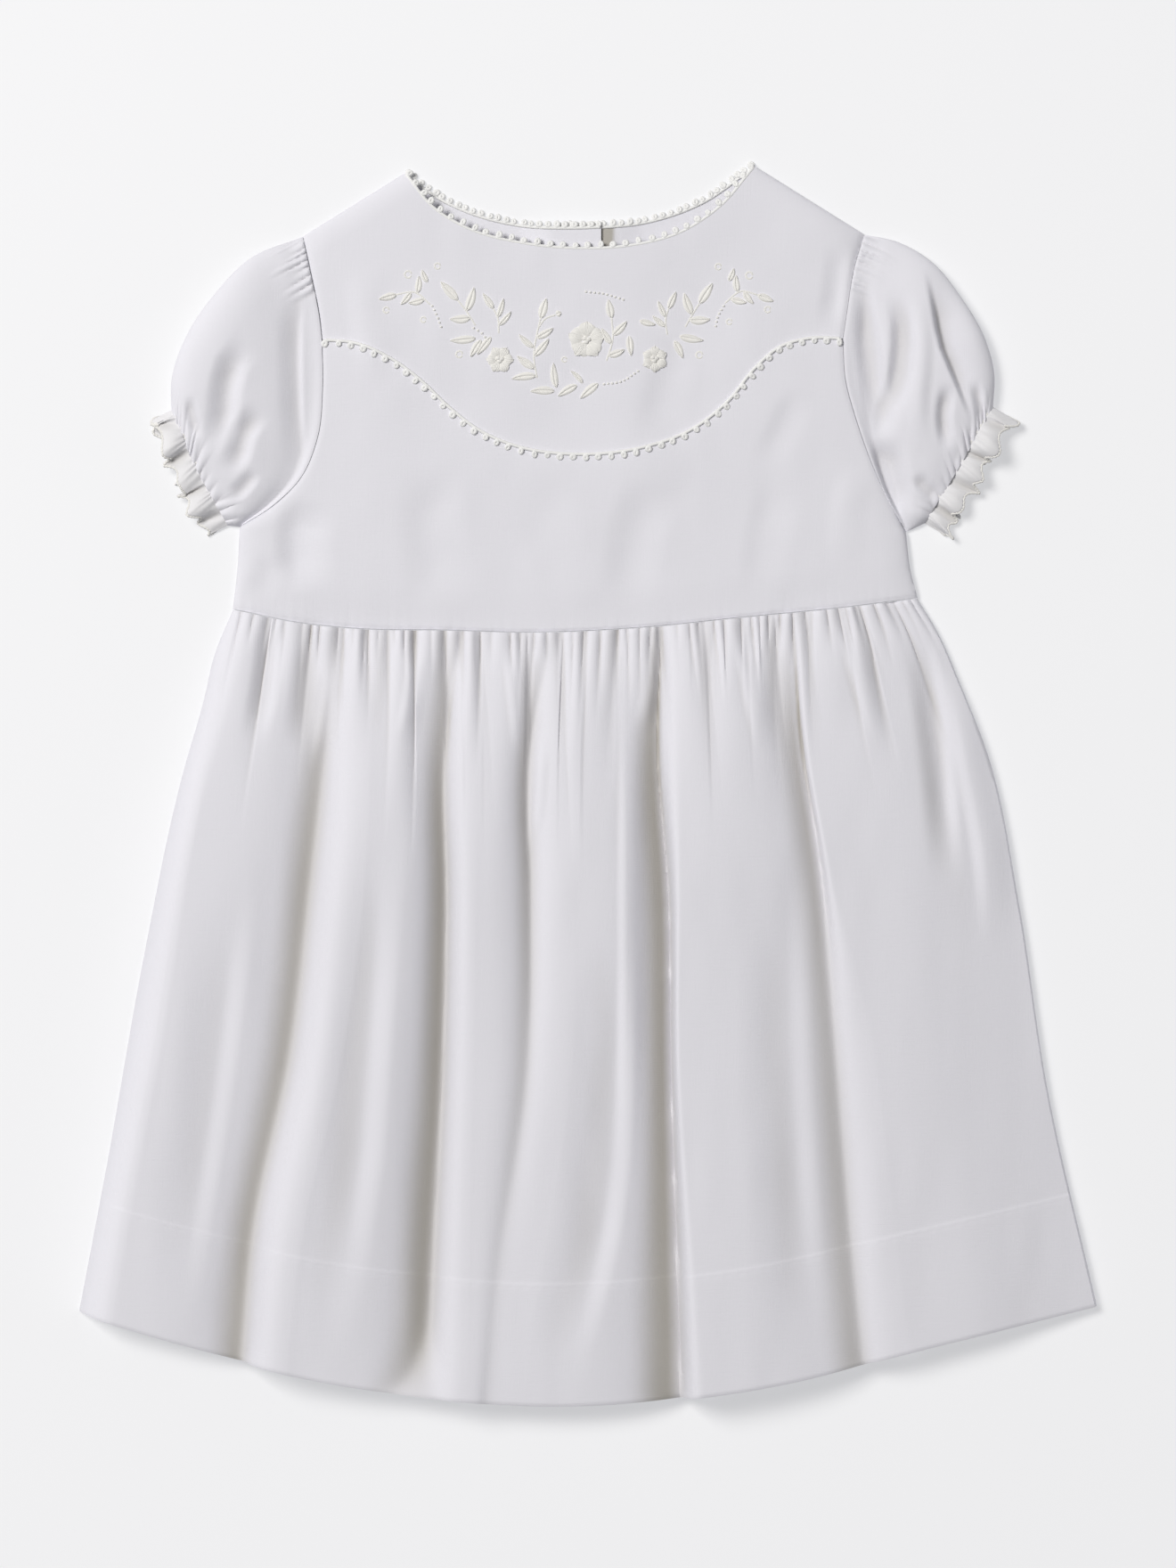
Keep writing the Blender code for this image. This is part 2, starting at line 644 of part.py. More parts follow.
def material(name, finish):
    """A plain material with the part's colour and roughness."""
    made = bpy.data.materials.new(name)
    made.use_nodes = True
    shader = made.node_tree.nodes["Principled BSDF"]
    shader.inputs["Base Color"].default_value = (finish.red, finish.green, finish.blue, 1)
    shader.inputs["Roughness"].default_value = finish.roughness
    shader.inputs["Metallic"].default_value = 0.0
    return made


def shaped_grid(point, columns, rows, crowding=1.0, mirrored=False):
    """A grid with every vertex moved onto a piece's shape."""
    shape = bmesh.new()
    bmesh.ops.create_grid(shape, x_segments=columns, y_segments=rows, size=0.5)
    flat = np.array([vertex.co[:2] for vertex in shape.verts])
    u = np.clip(np.round(flat[:, 0] + 0.5, 6), 0, 1)
    if mirrored:
        u = 1 - u
    v = np.clip(np.round(0.5 - flat[:, 1], 6), 0, 1) ** crowding
    for vertex, place in zip(shape.verts, point(u, v) / 1000):
        vertex.co = place
    return shape


def finished(name, shape, finish, collection):
    """The shape as a named object with its material."""
    mesh = bpy.data.meshes.new(name)
    shape.to_mesh(mesh)
    shape.free()
    mesh.materials.append(finish)
    piece = bpy.data.objects.new(name, mesh)
    collection.objects.link(piece)
    return piece


def panel(name, point, columns, rows, wall, finish, collection, crowding=1.0):
    """A flat-laid piece: a grid extruded straight up or down into its wall, so its seams stay true."""
    shape = shaped_grid(point, columns, rows, crowding)
    shape.normal_update()
    walls = [wall / 1000 / max(vertex.normal.z, STEEPEST_WALL) for vertex in shape.verts]
    first = shape.verts[:]
    made = bmesh.ops.extrude_face_region(
        shape, geom=shape.faces[:] + shape.edges[:] + shape.verts[:], use_keep_orig=True
    )
    copies = [item for item in made["geom"] if isinstance(item, bmesh.types.BMVert)]
    for original, copy, thickness in zip(first, copies, walls):
        copy.co = original.co
        copy.co.z += thickness
    bmesh.ops.recalc_face_normals(shape, faces=shape.faces)
    return finished(name, shape, finish, collection)


def tube(name, point, columns, rows, wall, mirrored, finish, collection):
    """A piece that goes once round: a grid closed into a ring, with its wall inside."""
    shape = shaped_grid(point, columns, rows, mirrored=mirrored)
    bmesh.ops.remove_doubles(shape, verts=shape.verts, dist=1e-6)
    piece = finished(name, shape, finish, collection)
    solid = piece.modifiers.new("wall", "SOLIDIFY")
    solid.thickness = wall / 1000
    solid.offset = -1.0
    return piece


def trims(collection, thread):
    """The picot trims on the yoke seam and round the neck."""
    middle = OVERLAP_RIGHT_EDGE
    inner = CLOTH - TRIM_WALL
    share = np.linspace(0, 1, 12)
    left_back = part_edge(BACK_NECK, LEFT_NECK_CORNER[0], middle)(share)
    right_back = part_edge(BACK_NECK, middle + PICOT_PITCH, RIGHT_NECK_CORNER[0])(share)
    rows = [
        ("yoke_picots", YOKE_SEAM, True, lambda x, y: bodice_height(x, y) + GAP),
        ("neck_picots_front", FRONT_NECK, False, lambda x, y: bodice_height(x, y) - TRIM_WALL),
        ("neck_picots_back_left", left_back, False, lambda x, y: overlap_lift(True, x, y) + inner),
        ("neck_picots_back_right", right_back, False, lambda x, y: overlap_lift(False, x, y) + inner),
    ]
    for name, line, downward, height in rows:
        panel(
            name,
            lambda u, v, row=(line, downward, height): trim_point(*row, u, v),
            picots_on(line) * 3,
            1,
            TRIM_WALL,
            thread,
            collection,
        )


def buttons(collection, pearl):
    """Flat round buttons under the back opening, resting on the surface."""
    middle = (OVERLAP_LEFT_EDGE + OVERLAP_RIGHT_EDGE) / 2
    for number, height in enumerate(BUTTON_HEIGHTS, start=1):
        bpy.ops.mesh.primitive_cylinder_add(
            vertices=20,
            radius=BUTTON_RADIUS / 1000,
            depth=BUTTON_THICKNESS / 1000,
            location=(middle / 1000, height / 1000, BUTTON_THICKNESS / 2000),
        )
        button = bpy.context.active_object
        button.name = f"button_{number}"
        button.data.materials.append(pearl)
        for owner in list(button.users_collection):
            owner.objects.unlink(button)
        collection.objects.link(button)


def below_top(point):
    """The same piece by its lower face, for a piece whose top face is the one worked out."""

    def lowered(u, v):
        places = point(u, v)
        places[:, 2] -= CLOTH
        return places

    return lowered


def dress():
    """All the pieces of the dress, in a collection of their own."""
    for thing in list(bpy.data.objects):
        bpy.data.objects.remove(thing)
    collection = bpy.data.collections.new("party_dress")
    bpy.context.scene.collection.children.link(collection)
    cotton = material("white_cotton", COTTON)
    ribbon = material("frill_ribbon", RIBBON)
    thread = material("picot_thread", THREAD)
    pearl = material("button_pearl", PEARL)

    columns = 2 * WAIST_GATHERS
    panel("skirt_back", skirt_back_point, columns, SKIRT_BACK_ROWS, CLOTH, cotton, collection, ROW_CROWDING)
    front = below_top(skirt_front_point)
    panel("skirt_front", front, columns, SKIRT_ROWS, CLOTH, cotton, collection, ROW_CROWDING)
    bodice_rows = ARMHOLE_ROWS + SIDE_ROWS
    panel("bodice_front", below_top(bodice_front_point), YOKE_COLUMNS, bodice_rows, CLOTH, cotton, collection)
    panel("yoke_front", below_top(yoke_point), YOKE_COLUMNS, ARMHOLE_ROWS, CLOTH, cotton, collection)
    for name, left_half in (("bodice_back_left", True), ("bodice_back_right", False)):
        panel(
            name,
            lambda u, v, left_half=left_half: back_point(left_half, u, v),
            BACK_COLUMNS,
            ARMHOLE_ROWS + bodice_rows,
            CLOTH,
            cotton,
            collection,
        )
    for sleeve in SLEEVES:
        tube(
            f"sleeve_{sleeve.side}",
            lambda u, v, sleeve=sleeve: sleeve_point(sleeve, u, v),
            SLEEVE_COLUMNS,
            SLEEVE_ROWS,
            CLOTH,
            sleeve.mirrored,
            cotton,
            collection,
        )
        tube(
            f"frill_{sleeve.side}",
            lambda u, v, sleeve=sleeve: frill_point(sleeve, u, v),
            FRILL_WAVES * FRILL_STEPS,
            2,
            FRILL_WALL,
            sleeve.mirrored,
            ribbon,
            collection,
        )
    trims(collection, thread)
    buttons(collection, pearl)


dress()
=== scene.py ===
# Looks of a baby's party dress in white cotton, laid face up and seen from straight above.
# All sizes are in millimetres until a mesh is made. +Y runs to the neck and +Z up off the surface.

import math
from collections import namedtuple
from functools import partial

import bpy
import numpy as np
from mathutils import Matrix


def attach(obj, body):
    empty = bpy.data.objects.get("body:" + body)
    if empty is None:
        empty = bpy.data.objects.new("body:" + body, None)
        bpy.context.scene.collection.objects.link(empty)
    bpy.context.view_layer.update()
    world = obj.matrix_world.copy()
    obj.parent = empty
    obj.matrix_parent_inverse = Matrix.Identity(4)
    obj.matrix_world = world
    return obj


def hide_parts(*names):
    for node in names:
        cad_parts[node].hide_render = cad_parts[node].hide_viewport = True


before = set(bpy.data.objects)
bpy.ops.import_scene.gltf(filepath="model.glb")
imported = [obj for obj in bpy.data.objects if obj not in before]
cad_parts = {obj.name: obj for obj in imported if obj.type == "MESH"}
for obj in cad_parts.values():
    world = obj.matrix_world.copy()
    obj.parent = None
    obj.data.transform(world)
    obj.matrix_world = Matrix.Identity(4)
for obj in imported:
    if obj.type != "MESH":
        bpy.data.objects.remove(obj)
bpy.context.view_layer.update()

# Cloth and seams
CLOTH = 1.1
GAP = 0.3
FRONT_LOW = 2 * CLOTH + GAP

# Outlines, as (x, y) along each cut edge
LEFT_NECK_CORNER = (-69.8, 232.9)
RIGHT_NECK_CORNER = (63.6, 235.6)
FRONT_NECK = [
    LEFT_NECK_CORNER, (-59, 219.6), (-45, 211.2), (-26, 206.2), (-4, 204.0), (17, 205.2),
    (35, 210.0), (50, 219.8), RIGHT_NECK_CORNER,
]
BACK_NECK = [
    LEFT_NECK_CORNER, (-59, 224.6), (-45, 217.8), (-26, 213.0), (0, 212.0), (23, 214.4),
    (43, 221.4), RIGHT_NECK_CORNER,
]
LEFT_SHOULDER = [(-108.6, 208.8), LEFT_NECK_CORNER]
RIGHT_SHOULDER = [RIGHT_NECK_CORNER, (105.2, 209.6)]
LEFT_ARMHOLE_TOP = [(-108.6, 208.8), (-105.4, 194.0), (-102.2, 178.0), (-101.2, 169.2)]
LEFT_ARMHOLE_LOW = [
    (-101.2, 169.2), (-100.9, 152.0), (-103.0, 131.5), (-109.0, 117.0), (-120.5, 105.6),
    (-132.8, 98.0),
]
RIGHT_ARMHOLE_TOP = [(105.2, 209.6), (101.2, 196.0), (98.3, 178.0), (97.0, 169.6)]
RIGHT_ARMHOLE_LOW = [
    (97.0, 169.6), (98.0, 154.0), (102.0, 139.0), (107.0, 124.6), (113.4, 110.0), (121.2, 96.0),
]
LEFT_SIDE = [(-132.8, 98.0), (-133.6, 82.0), (-135.4, 66.8)]
RIGHT_SIDE = [(121.2, 96.0), (122.8, 82.0), (125.6, 71.0)]
YOKE_SEAM = [
    (-101.2, 169.2), (-89.0, 168.0), (-75.7, 162.4), (-63.5, 153.6), (-53.0, 143.6),
    (-41.5, 134.8), (-27.0, 128.6), (-4.0, 125.6), (20.0, 128.0), (40.0, 135.4), (54.1, 146.7),
    (63.4, 158.2), (73.4, 166.6), (84.8, 169.8), (97.0, 169.6),
]
WAIST_SEAM = [
    (-135.4, 66.8), (-111.0, 61.8), (-88.0, 59.4), (-55.0, 58.8), (-20.0, 58.0), (20.0, 59.8),
    (60.0, 63.8), (95.0, 67.2), (125.6, 71.0),
]
LEFT_SKIRT_SIDE = [
    (-135.4, 66.8), (-142.2, 50.2), (-146.6, 32.0), (-154.6, 4.0), (-169.0, -63.6),
    (-182.8, -141.3), (-194.0, -200.6),
]
RIGHT_SKIRT_SIDE = [
    (125.6, 71.0), (133.4, 58.0), (142.0, 38.3), (152.5, 11.4), (164.4, -45.7), (174.9, -114.4),
    (194.0, -198.6),
]
HEM = [
    (-194.0, -200.6), (-154.0, -212.6), (-110.0, -224.4), (-60.0, -232.6), (-15.0, -235.6),
    (35.0, -233.0), (80.0, -226.0), (130.0, -213.6), (194.0, -198.6),
]
BACK_HEM_SHORTER = 2.5  # the back hem lies just inside the front one
SEAM_DROP = 0.4  # how far the lower piece starts below a seam that runs across
SKIRT_LENGTH = WAIST_SEAM[0][1] - HEM[0][1]
SHOULDER_SHARE = 4 / 30  # of the yoke's top edge
BACK_SHOULDER_SHARE = 0.4  # of the top edge of a back half
ARMHOLE_SHARE = 0.7  # of the bodice front's side edge
BACK_SIDE_SHARES = [0.42, 14 / 17, 1.0]  # where armhole top, armhole low and side end
CORNER = 1e-9  # a share too small to matter

# Lofts and rolled edges
BODICE_LOFT = 3.15
BODICE_BILLOW = 0.3
WAIST_LOFT = 2.6
SKIRT_PUFF = 1.0
SIDE_ROLL = 11.0
SHOULDER_ROLL = 9.0
ARMHOLE_OPEN = 12.0
LOFT_RUN = 16.0  # how far above the waist the bodice reaches its full loft
BILLOW_RUN = 30.0
BILLOW_LENGTH = 13.0
CREASE_FREE_SHOULDER = 12.0
PUFF_RUN = 26.0
RIGHT_EDGE_ROLL = 0.5
RIGHT_EDGE_LOFT = 0.35  # share of the loft that is left at the right edge
RIGHT_EDGE_RUN = 45.0

# Small reliefs along seams
SEAM_DIP = 0.45
SEAM_DIP_WIDTH = 0.8
WAIST_DITCH = 0.5
WAIST_DITCH_WIDTH = 0.9
YOKE_SPAN = 200.0  # about how wide the yoke is, for the distance from its armholes
BODICE_SPAN = 240.0
BODICE_DEPTH = 66.0
NO_SEAM_NEAR = 99
PUCKER = 0.12
PUCKER_RUN = 3

# Turned hem, with one row of stitches just inside its edge
HEM_DEPTH = 42.0
HEM_TURNED = 0.22
HEM_TURN_HALF = 0.6
HEM_STITCH = 0.09
HEM_STITCH_INSIDE = 1.2
HEM_STITCH_WIDTH = 0.7
HEM_STITCH_TURN = 1.3
HEM_EDGE_DROP = 0.5
HEM_EDGE_ROLL = 1.2
HEM_ROWS = (-3.2, -2.4, -1.8, -1.2, -0.6, 0.0, 0.6, 1.4)  # rows of points, from the hem's depth

# Soft unevenness of the cloth: its height, its lengths across and down, and its seed
Waves = namedtuple("Waves", "height across down seed")
BODICE_WAVES = [Waves(0.8, 24, 34, 2), Waves(0.2, 9, 13, 9)]
SKIRT_WAVES = [Waves(0.7, 22, 70, 4), Waves(0.2, 8, 26, 6)]
SLEEVE_WAVES = Waves(0.4, 13, 17, 14)
SKIRT_WAVES_RUN = 40.0
SLEEVE_WAVES_SHARE = 0.15
NOISE_CELLS = 127
NOISE_START = (61.3, 57.7)

# Soft folds of the skirt front: each has a crest, a steeper wall on its left down to a valley,
# and a long flank on its right down to the next valley. They are given at levels of its length.
LEVELS = (0.0, 0.18, 0.35, 0.58, 0.82, 1.0)
FLAT = (0,) * len(LEVELS)
Fold = namedtuple("Fold", "crest wall height floor round back")
RISING_FLOOR = (2, 2, 4, 7, 9.9, 11.4)
LAST_FLOOR = (1, 2, 3.4, 4.4, 4.4, 4.4)
FOLDS = [
    Fold((-134, -143, -151, -160, -172, -180), (10, 10, 10, 10, 12, 12), 11.0, FLAT, 2.0, 2.0),
    Fold((-82, -82, -84, -92.5, -107, -112.5), (14, 17, 20, 19, 18, 17), 14.5, FLAT, 5.0, 2.4),
    Fold((-43, -42, -42, -42.7, -44, -44.5), (5, 12, 11, 11.5, 13.5, 15), 13.0, FLAT, 4.0, 2.0),
    Fold((-3, -5.3, -5.3, -6, -17, -24), (11, 17, 16, 17, 17, 16), 11.5, RISING_FLOOR, 3.0, 0.0),
    Fold((34, 35.5, 34.9, 34.6, 40, 44), (6, 9, 4.5, 3.2, 6.5, 9), 15.5, FLAT, 0.5, 2.4),
    Fold((82, 83.5, 91.6, 107, 115.4, 121.5), (4, 2.2, 3, 13, 16, 17), 10.6, LAST_FLOOR, 2.0, 2.2),
]
FLANK_BEND = 3.0
LAST_FLANK_BEND = 1.15
RIGHT_EDGE_FLOOR = 1.6
FLANK_STRAIGHT = 0.1  # share of a flank's fall that is straight
CREST_BLEND = 5.0
FOLD_FULL = 0.36  # share of the length at which the folds are fully open
FOLD_OPENING = 0.85
BACK_GROOVE_WIDTH = 8.0
BACK_RIM = (0.02, 0.07)  # shares across, between which the back starts to lift
BACK_GROOVES_FROM = (0.1, 0.34)  # shares down, between which its grooves start

# Smaller ridges and troughs of the skirt, along paths of (x, y), with their flank widths
Crease = namedtuple("Crease", "path left right height")
CREASE_STARTED = 0.35  # share of its path over which a crease rises
CREASE_FADING = 0.6  # share of its path from which it fades
CREASE_STEPS = 9
SKIRT_CREASES = [
    Crease([(-132, -30), (-142, -109), (-147, -143), (-152.5, -177), (-157, -215)], 18, 9, -2.0),
    Crease([(-77, -10), (-80, -41), (-85, -109), (-87.5, -143), (-92.5, -177), (-97, -215)], 19, 11, -3.0),
    Crease([(10, -50), (9.5, -109), (8, -143), (3, -177), (-1, -194), (-6, -211), (-8, -235)], 19, 9, -2.8),
    Crease([(15, 45), (14.6, 0), (14.6, -80), (14, -150)], 4, 9, 1.4),
    Crease([(137, 50), (145, 5), (151, -25), (154, -66)], 6, 12, 2.6),
    Crease([(126, 62), (129.7, 40), (134, 7), (138, -41)], 9, 6, -3.2),
    Crease([(-120, 62), (-122, 40), (-127, 14)], 7, 6, -2.0),
    Crease([(-103, 60), (-106, 38), (-109, 10)], 9, 7, -2.0),
    Crease([(-18, 22), (-19, -4), (-22, -30)], 3, 4, 1.1),
    Crease([(-96, 52), (-99, 30), (-104, 2)], 4, 7, 1.2),
    Crease([(-66, 55), (-67, 38), (-71, 14)], 4, 7, 1.3),
    Crease([(-30, 55), (-28, 34), (-25, 8)], 4, 8, 1.1),
    Crease([(24, 56), (24, 40), (21, 18)], 5, 4, 1.4),
    Crease([(57, 60), (61, 38), (66, 12)], 4, 8, 1.3),
    Crease([(96, 64), (102, 42), (112, 14)], 4, 8, 1.2),
    Crease([(75, -20), (76, -109), (78, -143), (81, -177), (86, -225)], 20, 10, -2.2),
]
BODICE_CREASES = [
    Crease([(-107, 110), (-111, 95), (-109, 72)], 10, 15, -2.6),
    Crease([(-62, 122), (-60, 95), (-58, 66)], 14, 16, -1.5),
    Crease([(-118, 88), (-124, 76), (-128, 68)], 8, 8, -0.8),
    Crease([(28, 118), (18, 95), (16, 66)], 13, 13, -1.5),
    Crease([(72, 118), (67, 94), (64, 68)], 9, 13, -0.9),
    Crease([(104, 124), (98, 104), (97, 80)], 8, 10, 0.9),
    Crease([(33, 172), (29, 148), (24, 128)], 10, 12, -0.9),
    Crease([(-20, 120), (-14, 94), (-8, 66)], 12, 14, -0.5),
    Crease([(82, 152), (76, 140), (66, 120)], 7, 9, -0.8),
    Crease([(96, 208), (94.5, 190), (92, 170)], 7, 5, -1.1),
    Crease([(-88, 200), (-84, 176), (-80, 150)], 9, 13, 0.9),
]

# Gathers: how many, how high and how far they run, with a seed for their unevenness
Gather = namedtuple("Gather", "count height shortest longest seed")
PUFF_WIDTHS = (0.55, 1.5)  # least and most, as shares of the mean
PUFF_HEIGHTS = (0.45, 1.15)
PUFF_DRIFT = 0.5
PUFF_MEAN = 0.35
WAIST_FINE = Gather(54, 1.7, 10, 44, 11)
WAIST_BROAD = Gather(22, 2.9, 34, 100, 5)
BACK_FINE = Gather(50, 0.8, 8, 26, 23)
HEAD_GATHER = Gather(8, 1.7, 6, 20, 31)
HEAD_SPAN = 0.27  # share of the armhole, from the shoulder, that is gathered
HEAD_FADE = (HEAD_SPAN - 0.05, HEAD_SPAN + 0.04)
HEAD_FAN = 0.002
HEAD_START = 0.6
CUFF_GATHER = Gather(14, 1.5, 5, 19, 43)

# Sleeves, as in the cut: armhole, outer fold, cuff and short underarm seam
Sleeve = namedtuple("Sleeve", "side top_armhole low_armhole outer cuff under mirrored seed")
SLEEVES = [
    Sleeve(
        "left",
        LEFT_ARMHOLE_TOP,
        LEFT_ARMHOLE_LOW,
        [
            (-108.6, 208.8), (-128.7, 200.2), (-141.8, 187.0), (-152.4, 171.5), (-158.6, 154.0),
            (-158.8, 142.4),
        ],
        [(-158.8, 142.4), (-148.6, 119.0), (-137.4, 98.6)],
        [(-132.8, 98.0), (-137.4, 98.6)],
        False,
        3,
    ),
    Sleeve(
        "right",
        RIGHT_ARMHOLE_TOP,
        RIGHT_ARMHOLE_LOW,
        [
            (105.2, 209.6), (118.0, 206.6), (131.0, 198.8), (142.0, 185.4), (151.4, 169.0),
            (154.8, 156.0), (154.4, 143.6),
        ],
        [(154.4, 143.6), (141.6, 121.0), (128.4, 99.4)],
        [(121.2, 96.0), (128.4, 99.4)],
        True,
        8,
    ),
]
SleeveRing = namedtuple("SleeveRing", "along top middle")
SLEEVE_RINGS = [
    SleeveRing(0.00, 5.4, 1.5),
    SleeveRing(0.13, 7.2, 3.0),
    SleeveRing(0.30, 11.4, 5.0),
    SleeveRing(0.50, 13.6, 5.8),
    SleeveRing(0.72, 13.6, 6.0),
    SleeveRing(0.90, 11.0, 4.8),
    SleeveRing(1.00, 8.4, 3.8),
]
SLEEVE_SEAM_GAP = 0.12
SLEEVE_FLOOR = 1.9  # creases go no lower
SLEEVE_ROUNDNESS = 0.5
SLEEVE_OUTER_ROLL = 22.0
SLEEVE_INNER_ROLL = 6.0
SLEEVE_CROWN = 22.0  # how much longer its middle is than its two sides
SLEEVE_SEAM_SHARE = 0.12  # share of its length over which it leaves the bodice
SEAM_END_SPAN = 30.0
SLEEVE_SEAM_DIP = 0.6
UNDER_GATHER = 0.5
RING_BLEND = 0.07
RING_BLEND_STEPS = 7
RING_BLEND_FROM = 0.08
UNDERARM_MIDDLE = 1.6
UNDERARM_FALL = 0.66
SLEEVE_CREASES = {
    "left": [
        Crease([(-108.3, 193), (-110.5, 180), (-111, 156), (-110, 131), (-108, 114)], 8, 3, -1.5),
        Crease([(-127, 167), (-134, 161), (-137.5, 149), (-139, 136), (-143.6, 124)], 8, 7, -3.2),
        Crease([(-123, 143), (-130, 135), (-133.5, 124), (-138, 116)], 7, 6, -2.8),
        Crease([(-151.8, 148), (-150.5, 140), (-148, 130)], 3.5, 3.5, -1.8),
        Crease([(-126, 120), (-131, 113), (-137, 108)], 5, 4, -1.6),
    ],
    "right": [
        Crease([(129.2, 198), (132.4, 182), (135.2, 167), (140.6, 154), (147.6, 136)], 2.6, 17, -5.2),
        Crease([(101.8, 197), (105, 180), (108, 160), (110.5, 142), (112.5, 126)], 7, 6, -3.6),
        Crease([(116, 190), (119, 170), (117.5, 155), (113.5, 142), (112.5, 128)], 5, 7, -3.4),
        Crease([(137, 153), (135, 140), (137, 126)], 4, 4.5, -2.8),
        Crease([(147, 154), (149.8, 140), (150, 134)], 3.5, 3, -2.0),
        Crease([(111, 133), (114, 118), (118, 101)], 6, 10, -3.8),
        Crease([(124, 118), (130, 111), (135, 108)], 4, 5, -1.6),
        Crease([(125, 190), (127, 164), (125.6, 140), (129, 124)], 6, 5, 1.5),
    ],
}

# Frills
FRILL_WIDTH = 13.0
FRILL_WAVES = 8
FRILL_WALL = 0.6
FRILL_RISE = 5.0
FRILL_UNDER_RISE = 1.6
FRILL_UNDER_REACH = 0.82
FRILL_DROOP = 1.2
FRILL_BASE_DROP = 0.35
FRILL_TUCK = 0.8  # how far it starts inside the elastic
FRILL_SEED = 70
FRILL_SHIFT = 0.7
FRILL_SIZES = (0.55, 1.2)  # least and most size of a wave, as shares of the usual one
FRILL_LEAN = 1.6
FRILL_LENGTHS = (0.7, 1.16)
FRILL_TIED = 0.08  # share of the cuff at each fold over which the ruffles start
FRILL_REACH = 0.79
FRILL_CREST_REACH = 0.03
FRILL_LOBES = 0.12
FRILL_SWAY = 2.3
FRILL_SWAY_PHASE = 1.2
FRILL_OUTER_ROLL = 14.0
FRILL_INNER_ROLL = 8.0
FRILL_FINE = 0.22

# Overlocked edges of the frills: share of the width and radius of each
OVERLOCKED = ((0.0, 0.42), (1.0, 0.5))
OVERLOCK_STEPS = 721
OVERLOCK_SIDES = 6
OVERLOCK_TWIST = 0.22
OVERLOCK_PITCH = 5
OVERLOCK_CLEAR = 1.25

# Trims and stitches
PICOT_PITCH = 4.9
NECK_PITCH = 3.3
PIPING_RADIUS = 0.62
CORD_SIDES = 8
LOOP_RADIUS = 0.66
LOOP_STEPS = 14
LOOP_REACH = 1.3
LOOP_TILT = 14
LOOP_STRETCH = (0.95, 1.25, 1.0)
STRAND_RADIUS = 0.68
LOOP_WOBBLE = (0.16, 0.16, 0.34)
SMALLEST_LOOP = (0.86, 0.84, 0.9)
LARGEST_LOOP = (1.14, 1.12, 1.1)
TRIM_END = 0.006  # share of its seam that a trim stays clear of each end
YOKE_CORD_RISE = 0.3  # its middle over the top of the cloth
YOKE_CORD_STEPS = 260
NECK_CORD_DROP = 0.35
NECK_CORD_STEPS = 120
BACK_CORD_DROP = 0.1
BACK_CORD_STEPS = 80
BACK_NECK_POINTS = 12

# Back opening
OVERLAP_LEFT_EDGE = -11.0
OVERLAP_RIGHT_EDGE = 5.0
PLACKET_SLOPE = 15.0
PLACKET_FLAT = 18.0
PLACKET_LANDING = 24.0
PLACKET_ABOVE_WAIST = 6
# The band of painted shade at the neck notch: its width beside the upper lap's edge and the heights over
# which it fades in
NOTCH_WIDTH = 5.0
NOTCH_HEIGHTS = (202, 205)
BUTTON_THICKNESS = 1.4
BUTTON_HEIGHTS = (200.0, 158.0, 116.0)
BUTTON_SIDES = 48
BUTTON_FACE_INSIDE = 0.1
BUTTON_BACK_INSIDE = 0.06
BUTTON_BACK_ROLL = 0.3
BUTTON_BACK_SHARE = 0.98
ButtonRing = namedtuple("ButtonRing", "radius rise")
BUTTON_RINGS = [
    ButtonRing(1.9, 0.55),
    ButtonRing(2.5, 0.62),
    ButtonRing(3.1, 0.9),
    ButtonRing(3.7, 1.05),
    ButtonRing(4.2, 0.95),
    ButtonRing(4.5, 0.6),
]
BUTTON_BACK_EDGE = 4.3

# Walls of the cloth, and how finely each piece is divided
SKIRT_WALL = 0.9
BODICE_WALL = 0.8
SKIRT_COLUMNS = 481
SKIRT_ROWS = 160
BODICE_COLUMNS = 241
BODICE_ROWS = 88
YOKE_COLUMNS = 240
YOKE_ROWS = 80
SKIRT_BACK_ROWS = 49
BACK_COLUMNS = 81
BACK_ROWS = 69
SLEEVE_COLUMNS = 301
SLEEVE_ROWS = 84
FRILL_COLUMNS = 361
FRILL_ROWS = 13
COARSE = 4  # how many fine steps one step of a hidden face takes
CROWDING = 9

# Painted shade in the folds: heights are compared with their mean over some columns and rows, and
# the painted shade is moved aside by some columns, down to a share of the length
Reach = namedtuple("Reach", "columns rows depth shift until")
ALL_DOWN = 2
SKIRT_SHADE_PAINT = (Reach(20, 0, 5.4, 3, ALL_DOWN), Reach(4, 0, 1.7, 0, 0.3))
SLEEVE_SHADE_PAINT = (Reach(10, 6, 5.0, 0, ALL_DOWN), Reach(4, 2, 3.4, 0, ALL_DOWN))
FRILL_SHADE_PAINT = (Reach(20, 0, 3.6, 0, ALL_DOWN),)
SHADE_MARGIN = 0.1


def soft_step(low, high, value):
    """0 below low and 1 above high, with a smooth rise between them."""
    share = np.clip((value - low) / (high - low), 0, 1)
    return share * share * (3 - 2 * share)


def roll(distance, width):
    """The quarter round of a rolled edge."""
    share = np.clip(distance / width, 0, 1)
    return np.sqrt(1 - (1 - share) ** 2)


def crest(offset, left, right):
    """A soft ridge: 1 at offset 0 and 0 past its flanks."""
    share = np.clip(np.abs(offset) / np.where(offset < 0, left, right), 0, 1)
    return 0.5 + 0.5 * np.cos(math.pi * share)


def line_length(points):
    """Length of a line through points."""
    return float(np.linalg.norm(np.diff(np.array(points, float), axis=0), axis=1).sum())


